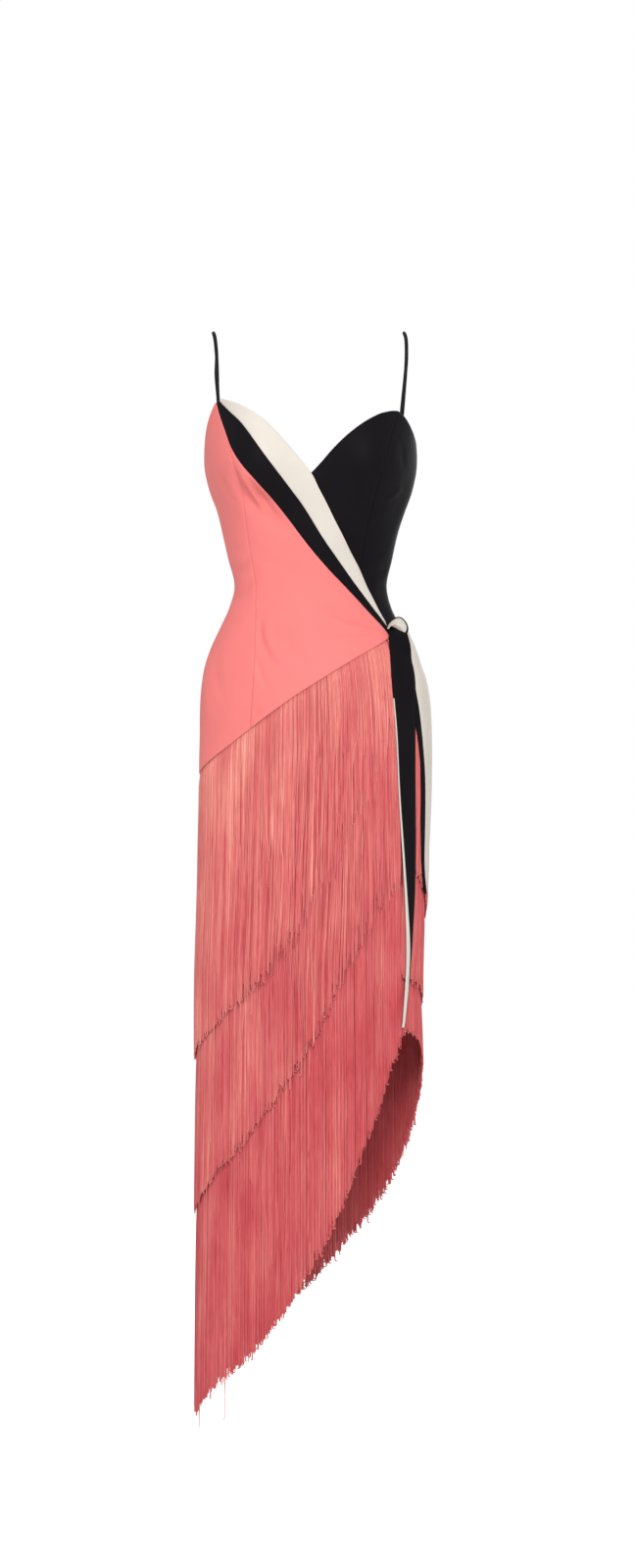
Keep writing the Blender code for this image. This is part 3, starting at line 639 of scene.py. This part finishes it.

# %% [markdown]
# ## Hanging the fringe
# A tier is three layers of cords, one behind the other, all sewn along one strip. They hang straight, but
# here and there they part, some wander across their neighbours, and many end in a small curl. The top tier
# is the most tumbled and the lowest the straightest, and towards the knot the upper hems melt into the tier
# below. So each tier has its own row of habits, and the partings and loose ends that show most are placed
# one by one. A particle system would be quicker to set up, but cords made in code can each be placed.

# %% each tier's habits
LAYERS, LAYER_STEP, COVER, CROWDED = 3, 0.6, 10, 1.12
TIERS = (
    # pitch, radius, mm between points, own sway, stray share, stray reach, mixing, tip scatter, tone
    # (painted shade, lower for the lower tiers)
    (1.8, 0.90, 19, 0.65, 0.22, 6.0, 0.35, 4.0, 0.20),
    (1.9, 0.92, 23, 0.42, 0.10, 5.0, 0.30, 4.0, 0.02),
    (2.2, 1.05, 32, 0.22, 0.04, 3.0, 0.25, 2.8, -0.10),
)
TUMBLED = (                # where a front hem starts to melt into the next tier, over what angle, how far
    (-38, 45, 1.0), (2, 34, 0.9), (0, 1, 0),
)
CURLY = (0.5, 0.6, 0.8)    # share of cords that end in a curl
# Painted shade and light across whole bunches, darker between them.
BUNCH_SHADE = (0.04, 0.07, 0.11)           # how much darker or lighter whole bunches are
GAP_EVERY = (4.5, 3.5, 3.0)            # degrees between small partings
THREAD_BELOW, THREAD_SHARE = 14, 0.4   # mm below its hem a cord is a thread, this much as thick
rng = np.random.default_rng(1925)
print("cords to a degree and layer:", [round(ROUND_SIZE * CROWDED / row[0], 2) for row in TIERS])

# %% partings and loose ends placed one by one
PARTINGS = (
    # tier, angle, drop at its top and its foot, how far it opens, how far the push reaches, mm
    (0, 2.2, 540, 690, 1.8, 5), (0, 14.6, 530, 615, 1.2, 4), (0, -7.4, 560, 655, 1.3, 4),
    (0, -26, 665, 735, 1.2, 4), (0, -49, 650, 920, 2.6, 6), (0, -57, 640, 760, 1.2, 5),
    (0, 24, 520, 600, 0.9, 4), (0, -64, 700, 850, 1.2, 4), (1, -60, 1050, 1130, 1.6, 4),
    (1, -49, 900, 1060, 2.0, 6), (1, -20, 850, 950, 1.2, 4), (1, 8, 800, 890, 1.0, 4),
    (2, -22, 1040, 1260, 1.2, 4), (2, -12, 1050, 1240, 1.4, 4), (2, -55, 1140, 1330, 1.3, 4),
    (2, -65, 1180, 1400, 1.0, 4), (2, -60, 1280, 1420, 2.0, 4),
)
LOOSE_ENDS = (
    # tier, angle, drop of a cord that ends early in a curl, or hangs below its hem
    (0, 0.8, 629), (0, 11.6, 640), (0, 13, 666), (0, -45.5, 732), (0, 15, 652), (0, -22, 700), (0, 27, 560),
    (1, -30, 900), (1, 2, 842), (1, -58, 1010), (2, -38, 1180),
    (2, -73.2, 1450), (2, -46.8, 1433), (2, -58.7, 1408), (1, -63, 1150), (1, -36, 1092), (0, -55, 938),
)
print("partings:", len(PARTINGS), "loose ends:", len(LOOSE_ENDS))


def parted(u, drop, partings):
    """How far the partings push a cord sideways, in mm."""
    push = np.zeros(np.broadcast(u, drop).shape)
    for u0, top, foot, wide, reach in partings:
        along = np.clip((drop - top) / (foot - top), 0, 1)
        off = u - u0 + 0.4 * np.sin(drop / 37)
        push += np.sign(off) * wide * np.exp(-np.abs(off) / reach) * np.sin(np.pi * along) ** 0.7
    return push


EDGE_HANG = ((405, 51), (456, 46.5), (535, 46.5), (665, 48.5), (794, 52), (923, 54), (1460, 54))


def hang(angle, drop):
    """The front tiers lean with the edge of the wrap."""
    lean = curve(EDGE_HANG, drop)[..., 0] - WRAP_ANGLE
    return angle + lean * ease((angle - 2) / 50)


def melt(tier, angle, end):
    """How far a tier's hem melts into the next tier at an angle, 0 to 1."""
    start, over, most = TUMBLED[tier]
    return most * ease((angle - start) / over) * (end == WRAP_ANGLE)


# %% where the cords of a tier begin and end
def strung(tier, hems, start, end):
    """Each cord's layer, angle, root, hem, tip, and whether it ends early."""
    pitch, scatter = TIERS[tier][0], TIERS[tier][7]
    per_layer = round((end - start) * ROUND_SIZE * CROWDED / pitch)
    count = per_layer * LAYERS
    layer = np.repeat(np.arange(LAYERS), per_layer)
    shown = layer < LAYERS - 1
    jitter = np.where(shown, 0.4, 0.08) * rng.uniform(-1, 1, count)
    place = np.tile(np.arange(per_layer), LAYERS) + layer / LAYERS + jitter + 0.2
    angle = np.clip(start + place * (end - start) / per_layer, start + 0.3, end - 0.3)
    root = strip_drop(tier, hems, angle) - 1
    hem = curve(hems[tier], angle)[..., 0]
    loose = scatter * (1 + 2.5 * melt(tier, angle, end))
    tip = hem + rng.normal(0, 1, count) * loose - layer * rng.uniform(0, 4, count) - 1.5 * loose * ~shown
    early = rng.random(count) < 0.02
    tip = np.where(early, root + (hem - root) * rng.uniform(0.6, 0.97, count), tip)
    for which, at, drop in LOOSE_ENDS:
        if which == tier and start < at < end:
            near = np.argmin(np.abs(angle - at) + 9 * (layer > 0))
            tip[near], early[near] = drop, True
    tip = np.maximum(tip, root + 60)
    return layer[:, None], angle[:, None], root[:, None], hem[:, None], tip[:, None], early


# %% how they part, sway and stray
def each(angle, low, high):
    """One random number for each cord."""
    return rng.uniform(low, high, angle.shape)


def gaps_of(tier, hems, start, end):
    """The listed partings and a row of small random ones."""
    gaps = [(at * ROUND_SIZE, *rest) for which, at, *rest in PARTINGS if which == tier and start < at < end]
    for at in np.arange(start, end, GAP_EVERY[tier]):
        at = at + rng.uniform(-1.5, 1.5)
        top = float(strip_drop(tier, hems, at)) + rng.uniform(10, 180)
        foot = top + rng.uniform(80, 300 + 120 * tier)
        gaps.append((at * ROUND_SIZE, top, foot, rng.uniform(0.3, 1.4), rng.uniform(2, 5 - tier)))
    return gaps


def swayed(tier, angle, drop, fallen, shown, gaps):
    """How far each point hangs to the side, in mm, and which cords stray."""
    sway, strays, stray_reach = TIERS[tier][3:6]
    free, u = ease(fallen / 120), angle * ROUND_SIZE
    shift = free * shown * parted(u, drop, gaps)
    shift += free * 0.9 * sway * np.sin(u / 7 + 1.7 * np.sin(drop / 90)) * np.sin(drop / 70 + u / 40)
    own = np.sin(drop / each(angle, 18, 50) + each(angle, 0, 6.3)) * each(angle, 0.2, 1)
    shift += free * sway * shown * (own + rng.normal(0, 0.6, angle.shape))
    stray = (rng.random(angle.shape) < strays * shown) * rng.normal(0, stray_reach, angle.shape)
    shift += stray * ease((fallen - each(angle, 0, 150)) / each(angle, 80, 260))
    return shift, stray != 0


# %% how far they stand out
def stood_out(tier, hems, angle, drop, root, hem, end):
    """A tier comes out by one tier's thickness below each hem above it."""
    if tier == 0:
        return -1.5 * (1 - ease((drop - root) / 12))
    covered = [curve(hems[above], angle)[..., 0] + COVER - 70 * melt(above, angle, end)
               for above in range(tier)]
    joined = melt(tier - 1, angle, end)
    rise = np.maximum(hem - covered[-1], 1) * (1 - joined) + 68 * joined
    share_out = np.clip((drop - covered[-1]) / rise, 0, 1) ** (1.0 if end == WRAP_ANGLE else 0.5)
    out = -TIER_STEP * (1 - share_out)
    if tier == 2:
        out -= TIER_STEP * (1 - np.clip((drop - covered[0]) / (covered[1] - covered[0]), 0, 1))
    return out


# %% how light or dark they are
def toned_and_shaded(tier, angle, drop, fall, layer, shown):
    """Each point's tone with painted shade: its layer, its cord's own tone, clouds, and bunches with painted
    shade between them.
    """
    u = angle * ROUND_SIZE
    cloud = (np.sin(u / 19 + 1.2 * np.sin(drop / 43 + tier)) * np.sin(drop / 57 + u / 33)
             + 0.6 * np.sin(u / 8 + drop / 90))
    bunch_shade = (np.sin(0.85 * u + 2.5 * np.sin(0.31 * u) + drop / 160)
             * np.sin(0.23 * u + 1 + 0.4 * np.sin(drop / 120)))
    # Painted shade: deeper layers darker, the hidden back layer darker above its tip, lower tiers darker
    # through their tier tone, and the top tier darker towards its hem.
    tone_and_shade = 0.15 + TIERS[tier][8] - 0.09 * layer - 0.12 * ~shown * (1 - ease((fall - 0.85) / 0.15))
    tone_and_shade += rng.normal(0, 0.06, angle.shape)
    tone_and_shade += 0.06 * np.sin(drop / each(angle, 12, 40) + each(angle, 0, 6.3))
    return tone_and_shade + 0.07 * cloud + BUNCH_SHADE[tier] * bunch_shade - 0.14 * (tier == 0) * fall


# %% the curl at each tip
CURL = (
    # how far aside, down and out on a curly cord, down on a straight one, how thick, how much lighter
    (0.3, 1.3, 0.1, 1.2, 0.85, 0.02), (1.2, 2.1, 0.3, 2.3, 0.72, 0.08),
    (2.2, 1.8, 0.6, 3.2, 0.66, 0.12), (2.6, 0.7, 0.8, 3.8, 0.5, 0.15),
)


def curled(where, drop, out, curly):
    """The points that each cord's tip goes on with."""
    side_way, size = rng.choice([-1, 1], len(where)), rng.uniform(0.6, 1.1, len(where))
    points = []
    for side, down, lift, plain_down, _, _ in CURL:
        aside = size * side_way * np.where(curly, side, 0.1 * side) / ROUND_SIZE
        below = size * np.where(curly, down, plain_down)
        points.append(skin(where[:, -1] + aside, drop[:, -1] + below, out[:, -1] + np.where(curly, lift, 0)))
    return np.stack(points, 1)


# %% one tier
def tier_of_cords(name, tier, hems, start, end):
    """Lays out, hangs, tones and paints shade on a tier's cords, in this order, as each step draws random
    numbers.
    """
    radius, station, mixing = TIERS[tier][1], TIERS[tier][2], TIERS[tier][6]
    layer, angle, root, hem, tip, early = strung(tier, hems, start, end)
    shown = layer < LAYERS - 1
    share = np.linspace(0, 1, int(np.ceil((tip - root).max() / station)) + 1)[None]
    drop = root + (tip - root) * share
    fall = (drop - root) / np.maximum(hem - root, 1)
    shift, stray = swayed(tier, angle, drop, drop - root, shown, gaps_of(tier, hems, start, end))
    where = angle + shift / ROUND_SIZE
    if end == WRAP_ANGLE:
        where = hang(where, drop)
    where = np.clip(where, start - 1, end + 2)
    out = stood_out(tier, hems, angle, drop, root, hem, end) - radius - layer * LAYER_STEP
    out += ease((drop - root) / 120) * (each(angle, -mixing, mixing) + 0.35 * stray)
    tone_and_shade = toned_and_shaded(tier, angle, drop, fall, layer, shown)
    thick = radius * np.where(shown, 1, 1.45) * np.clip(rng.normal(1, 0.14, angle.shape), 0.6, 1.3)
    thick = thick * np.where(drop > hem + THREAD_BELOW, THREAD_SHARE, 1)
    curly = early | (rng.random(len(angle)) < CURLY[tier] * (1 - 0.7 * melt(tier, angle[:, 0], end)))
    places = np.concatenate([skin(where, drop, out), curled(where, drop, out, curly)], 1)
    thick = np.concatenate([thick, *[thick[:, -1:] * row[4] for row in CURL]], 1)
    tone_and_shade = np.concatenate([tone_and_shade, *[tone_and_shade[:, -1:] + row[5] for row in CURL]], 1)
    return cords(name, places, thick, np.clip(tone_and_shade, 0, 1))


# %% cords as one joined mesh
CORD_SIDES, LOOP_LONG = 4, 0.0016      # sides of a cord's section, and metres to one loop of its chain


def unit(arrows):
    return arrows / (np.linalg.norm(arrows, axis=-1, keepdims=True) + 1e-12)


def tubes(name, centres, thick, toward, sides, cloth):
    """Closed tubes along rows of centre points, in one mesh. Their first side faces toward."""
    count, stations = centres.shape[:2]
    along = unit(np.gradient(centres, axis=1))
    first = unit(toward - along * np.sum(toward * along, -1, keepdims=True))
    second = np.cross(along, first)
    turn = np.arange(sides) * math.tau / sides
    ring = (np.cos(turn)[:, None] * first[..., None, :] + np.sin(turn)[:, None] * second[..., None, :])
    points = centres[..., None, :] + ring * (thick * MM)[..., None, None]
    k, cord = np.arange(sides), np.arange(count)[:, None] * stations
    base = (cord[..., None] + np.arange(stations - 1)[None, :, None]) * sides
    a, b = base + k, base + (k + 1) % sides
    faces = np.stack([a, b, b + sides, a + sides], -1).reshape(-1, 4).tolist()
    faces += (cord * sides + k[::-1]).tolist() + ((cord + stations - 1) * sides + k).tolist()
    run = run_along(centres, 1)
    uv = np.stack(np.broadcast_arrays(k / sides, run[..., None] / LOOP_LONG), -1)
    return add_mesh(name, points, faces, cloth, uv), run


def cords(name, centres, thick, tone_and_shade):
    """The tubes of one tier, each point with its tone and painted shade."""
    piece, _ = tubes(name, centres, thick, centres * [1.0, 1.7, 0.0], CORD_SIDES, FRINGE)
    shade = piece.data.attributes.new("tone_and_shade", "FLOAT", "POINT")
    shade.data.foreach_set("value", np.repeat(tone_and_shade.reshape(-1), CORD_SIDES).astype(np.float32))
    print(f"{name}: {len(centres)} cords, {thick.size} points along them")
    return piece


# %% three tiers, in front and behind
for tier in range(3):
    for name, hems, start, end in ((f"fringe_{tier + 1}_front", FRONT_HEMS, RIGHT_SIDE, WRAP_ANGLE),
                                   (f"fringe_{tier + 1}_back", BACK_HEMS, WRAP_ANGLE, ROUND + RIGHT_SIDE)):
        tier_of_cords(name + "_cords", tier, hems, start, end)
        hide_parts(name)

# %% [markdown]
# ## The sash
# The bands end in a knot at the left hip, and its ends hang down over the fringe. One is black with its
# ivory reverse along an edge, the other ivory with its black reverse. Each is one ribbon between two edge
# lines. A line between them says where the cloth rolls over, and the cells beside it take the other side's
# finish. A simulated strip would fall as naturally, but it wouldn't end just where this one does.

# %% edges of the two ends
LONG_TAIL = (
    # drop, x of its left and right edges, mm
    (394, 101, 122), (399, 101.2, 126), (404, 101.2, 129), (412, 101, 131), (420, 100.9, 133.2),
    (430, 100.8, 133.9), (455, 102.8, 134), (495, 108.4, 135.4), (535, 112.3, 136.2), (598, 113.9, 137.2),
    (661, 117.7, 137.2), (715, 121.5, 136.7), (755, 123.3, 136), (786, 124.6, 133.7), (831, 125.7, 131.9),
    (867, 123.5, 129.3), (893, 121.3, 125.4), (921, 118.7, 122.3),
)
SHORT_TAIL = (
    (396, 112, 123), (404, 118, 130.3), (430, 126.5, 142.4), (455, 131, 151), (477, 132, 155.5),
    (503, 133.5, 158), (522, 136.5, 158.7), (545, 141.3, 159.1), (565, 143.8, 159.3), (600, 145.1, 159),
    (652, 144.8, 157), (705, 145, 154.7), (728, 146.4, 154), (745, 149.5, 153.4),
)
LONG_STRIPE = (            # drop, how wide the ivory reverse shows along the black end, mm
    (388, 0), (455, 0.1), (475, 0.3), (490, 0.5), (520, 0.7), (540, 0.8), (565, 1.1), (588, 1.3),
    (666, 1.9), (718, 2.5), (760, 2.9), (796, 3.85), (828, 5), (845, 5.5), (860, 5.4), (890, 3.8),
    (921, 3.3),
)
SHORT_TURN = (             # drop, x where the black reverse gives way to ivory on the short end
    (396, 120), (404, 124), (425, 131), (450, 134.3), (471, 135.8), (510, 142.2), (549, 146.4),
    (588, 149.6), (666, 149.2), (705, 148), (728, 148.6), (745, 152),
)
SASH_WALL, SASH_OUT = 1.6, 0.7
print("the ends reach", LONG_TAIL[-1][0], "and", SHORT_TAIL[-1][0], "mm down")

# %% how the ends lie round the hip
# They leave the knot facing forward, a little off the body, and turn to lie on the side of the hip. This
# says the farthest angle that they reach at each drop, and how it spreads over their width.
FARTHEST = ((394, 64), (404, 66), (418, 70), (432, 76), (450, 82), (480, 86), (540, 90), (930, 90))
FAN, SIDEWAYS = 0.3, 0.9975


def angle_of(x, drop):
    """The angle at which the form is as far to the side as x."""
    right, left = np.moveaxis(curve(RINGS, drop)[..., :2], -1, 0)
    return np.degrees(np.arcsin(np.clip((x - (left + right) / 2) / ((left - right) / 2), -1, SIDEWAYS)))


def evened(angle, reach=6):
    """The angles with their kinks along the drop rounded off."""
    for _ in range(2):
        padded = np.pad(angle, ((reach, reach), (0, 0)), mode="reflect", reflect_type="odd")
        angle = np.mean([padded[n:n + len(angle)] for n in range(2 * reach + 1)], 0)
    return angle


# %% one hanging end
ROWS_ACROSS = np.array([0, 0.12, 0.3, 0.5, 0.7, 0.88])


def tail_grid(table, turn):
    """Rows of a ribbon: drop, its left edge, where it folds, its right edge, and x across."""
    top, foot = table[0][0], table[-1][0]
    drop = np.concatenate([np.linspace(top, foot - 8, 100), foot - np.array([5, 2.5, 0])])[:, None]
    edges = curve(table, drop[:, 0])
    low, high = edges[:, :1], edges[:, 1:2]
    split = np.clip(turn(low, drop[:, 0]), low + 0.3, high - 0.3)
    beyond = np.concatenate([ROWS_ACROSS, [1]])
    across = [low + (split - low) * ROWS_ACROSS[None], split + (high - split) * beyond[None]]
    return drop, low, split, high, np.concatenate(across, 1)


def tail(name, table, face, reverse, turn, tuck=0.0):
    """One hanging end. Its reverse shows up to the x of turn, folded forward there."""
    drop, low, split, high, across = tail_grid(table, turn)
    farthest = curve(FARTHEST, drop[:, 0]) + FAN * (across - high)
    angle = evened(np.minimum(angle_of(across, drop), farthest))
    groove = sum(0.5 * np.exp(-((across - edge) / 0.6) ** 2) for edge in (low, split, high))
    roll = 0.5 * np.sin((across - low) / np.maximum(high - low, 1) * np.pi)
    roll += 0.35 * np.sin(drop / 43) * np.sin(across / 6)
    into_knot = 1.5 * (1 - ease((drop - 392) / 26))
    lie = SASH_OUT + SASH_WALL + roll + into_knot
    off = np.maximum((across - form(angle, drop)[..., 0]) / np.sin(np.radians(angle)) - lie, 0)
    off *= 1 - ease((drop - 425) / 45)
    out = lie + off - groove - tuck * (1 - ease((across - low - 3) / 5)) * (1 - ease((drop - 500) / 40))
    grid = np.stack([angle, np.broadcast_to(drop, angle.shape)], -1)
    turned = (np.arange(12)[None] < len(ROWS_ACROSS)) & ((split - low) > 0.45)[:-1]
    return sheet(name, grid, face, out=out, thick=SASH_WALL, dips=(0, 0, 0, 0),
                 crease=0, lining=reverse, reversed_cells=turned)


tail("sash_tail_long", LONG_TAIL, BLACK, IVORY, lambda low, drop: low + curve(LONG_STRIPE, drop))
tail("sash_tail_short", SHORT_TAIL, IVORY, BLACK, lambda low, drop: curve(SHORT_TURN, drop), tuck=1.9)

# %% [markdown]
# ## The knot
# The sash is drawn through itself in one flat turn. What shows is a rounded ivory fold that fans out from
# the point where the bands dive under it, with the black side as a rim round its far edge. Both are domes
# between two edge lines, the fold with small wrinkles that run out from its point. A whole knotted ribbon
# could be modelled, but nearly all of it would be hidden inside.

# %% the knot's place: its middle, and the way it faces
KNOT_MIDDLE = np.array([114.3, -50.5, -392.0])
KNOT_ACROSS, KNOT_UP, KNOT_OUT = np.array(((0.886, 0.463, 0), (0, 0, 1), (0.463, -0.886, 0)))
KNOT_LOW = ((-12.5, -4.6), (-11.2, -2), (-9, -1), (-5.7, -1.4), (-1.2, -3.5), (4, -6.9), (9, -9.5))
KNOT_HIGH = ((-12.5, -4.6), (-11.3, -0.7), (-9, 3.3), (-5.1, 7.2), (0.8, 10), (6, 8.5), (10.3, 3.3),
             (12.2, -2.6), (10.9, -7.8), (9, -9.5))
RIM_LOW = ((-11, -4.2), (-9, -2.6), (-6, -3), (-2, -5), (3, -8.4), (7, -10.6), (10, -11.4))
RIM_HIGH = ((-11, -4.2), (-9.5, 1), (-6.5, 6.5), (-1.5, 11), (3, 11.6), (8, 9.4), (12.6, 3.6),
            (14.7, -3.4), (13.6, -9), (10, -11.4))
print("the knot sits at", (KNOT_MIDDLE * MM).round(3).tolist(), "m")


# %% a rounded fold
def closed_shell(name, front, behind, cloth):
    """Two grids, one before the other, with a wall all round their rim."""
    down, across = front.shape[:2]
    half, last = down * across, (down - 1) * across
    ring = np.concatenate([np.arange(down) * across, last + np.arange(1, across),
                           np.arange(down - 2, -1, -1) * across + across - 1, np.arange(across - 2, 0, -1)])
    after, faces = np.roll(ring, -1), quads(down, across)
    wall = np.stack([ring, after, after + half, ring + half], -1)
    faces = np.concatenate([faces[:, ::-1], faces + half, wall]).tolist()
    return add_mesh(name, np.stack([front, behind]), faces, cloth)


def fold(name, low, high, back, tall, wrinkled, cloth):
    """A rounded fold of cloth between two edges of (x, z) points."""
    u, v = np.linspace(0, 1, 48), np.linspace(0, 1, 36)[None, :]
    low, high = (curve([(n, *p) for n, p in enumerate(side)], u * (len(side) - 1)) for side in (low, high))
    x = low[:, :1] * (1 - v) + high[:, :1] * v
    z = low[:, 1:] * (1 - v) + high[:, 1:] * v
    bend = back - 1.5 * (1 - ease(u / 0.45))[:, None] + 0 * v
    along = np.clip(np.sin(np.pi * (0.05 + 0.95 * u)), 0, 1)[:, None] ** 0.6
    swell = along * np.sin(np.pi * v) ** 0.6
    ripple = np.sin(math.tau * (2.4 * v - 0.5 * u[:, None]) + 0.5)
    wrinkle = wrinkled * ease(u / 0.2)[:, None] * swell * ripple
    flat = KNOT_MIDDLE + ((x - bend * KNOT_OUT[0]) / KNOT_ACROSS[0])[..., None] * KNOT_ACROSS
    flat += z[..., None] * KNOT_UP
    front, behind = ((flat + out[..., None] * KNOT_OUT) * MM
                     for out in (bend + tall * swell + wrinkle, bend - 1.0 - 3.0 * swell))
    piece = closed_shell(name, front, behind, cloth)
    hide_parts("sash_knot")
    print(f"{name}: {len(piece.data.polygons)} faces, {np.ptp(front[..., 2]) / MM:.0f} mm high")


fold("knot_fold", KNOT_LOW, KNOT_HIGH, 1.0, 7.0, 0.5, IVORY)
fold("knot_rim", RIM_LOW, RIM_HIGH, -2.0, 4.5, 0.0, BLACK)

# %% [markdown]
# ## Straps
# Each strap is a round cord of the black crepe, turned inside out so that its seam is hidden. It runs from
# inside the front edge over the shoulder to the back edge. A curve object with a round bevel would do as
# well, but the helper that makes the cords gives a mesh of known faces at once.

# %% the way of each strap
STRAP_RADIUS, STRAP_SIDES, STRAP_TUCK, STRAP_GAP, PANEL_WALL = 2.4, 12, 9, 1.1, 1.4
RIGHT_STRAP = ((-124.4, -44, -62), (-124, -34, -36), (-126.4, -18, -11), (-129, 2, -2.4),
               (-127, 22, -11), (-125, 40, -38), (-124, 50, -80), (-121, 56, -122))
LEFT_STRAP = ((124.6, -44, -64), (126.6, -34, -38), (126.4, -18, -13), (124, 2, -2.4),
              (127, 22, -11), (127.4, 40, -38), (124.6, 50, -80), (121, 56, -122))


def foot_points(angle, drop, out):
    """Two points where a strap runs down inside an edge."""
    inside = out - PANEL_WALL - STRAP_GAP - STRAP_RADIUS
    return [skin(angle, drop + step, inside) / MM for step in (STRAP_TUCK, -2 * STRAP_RADIUS)]


# %% both straps
for name, middle, front, back in (("strap_right", RIGHT_STRAP, (-67.5, 99, 0), (-122, 160, 0)),
                                  ("strap_left", LEFT_STRAP, (67, 116, UNDER), (122, 160, 0))):
    route = np.array([*foot_points(*front), *middle, *foot_points(*back)[::-1]], float)
    at = curve([(n, *p) for n, p in enumerate(route)], np.linspace(0, len(route) - 1, 90))[None]
    thick = np.full(at.shape[:2], STRAP_RADIUS)
    strap, run = tubes(name + "_cord", at * MM, thick, np.array([0.3, 1.0, 0.05]), STRAP_SIDES, STRAP)
    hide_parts(name)
    print(name, "is", round(run[0, -1] / MM), "mm long")
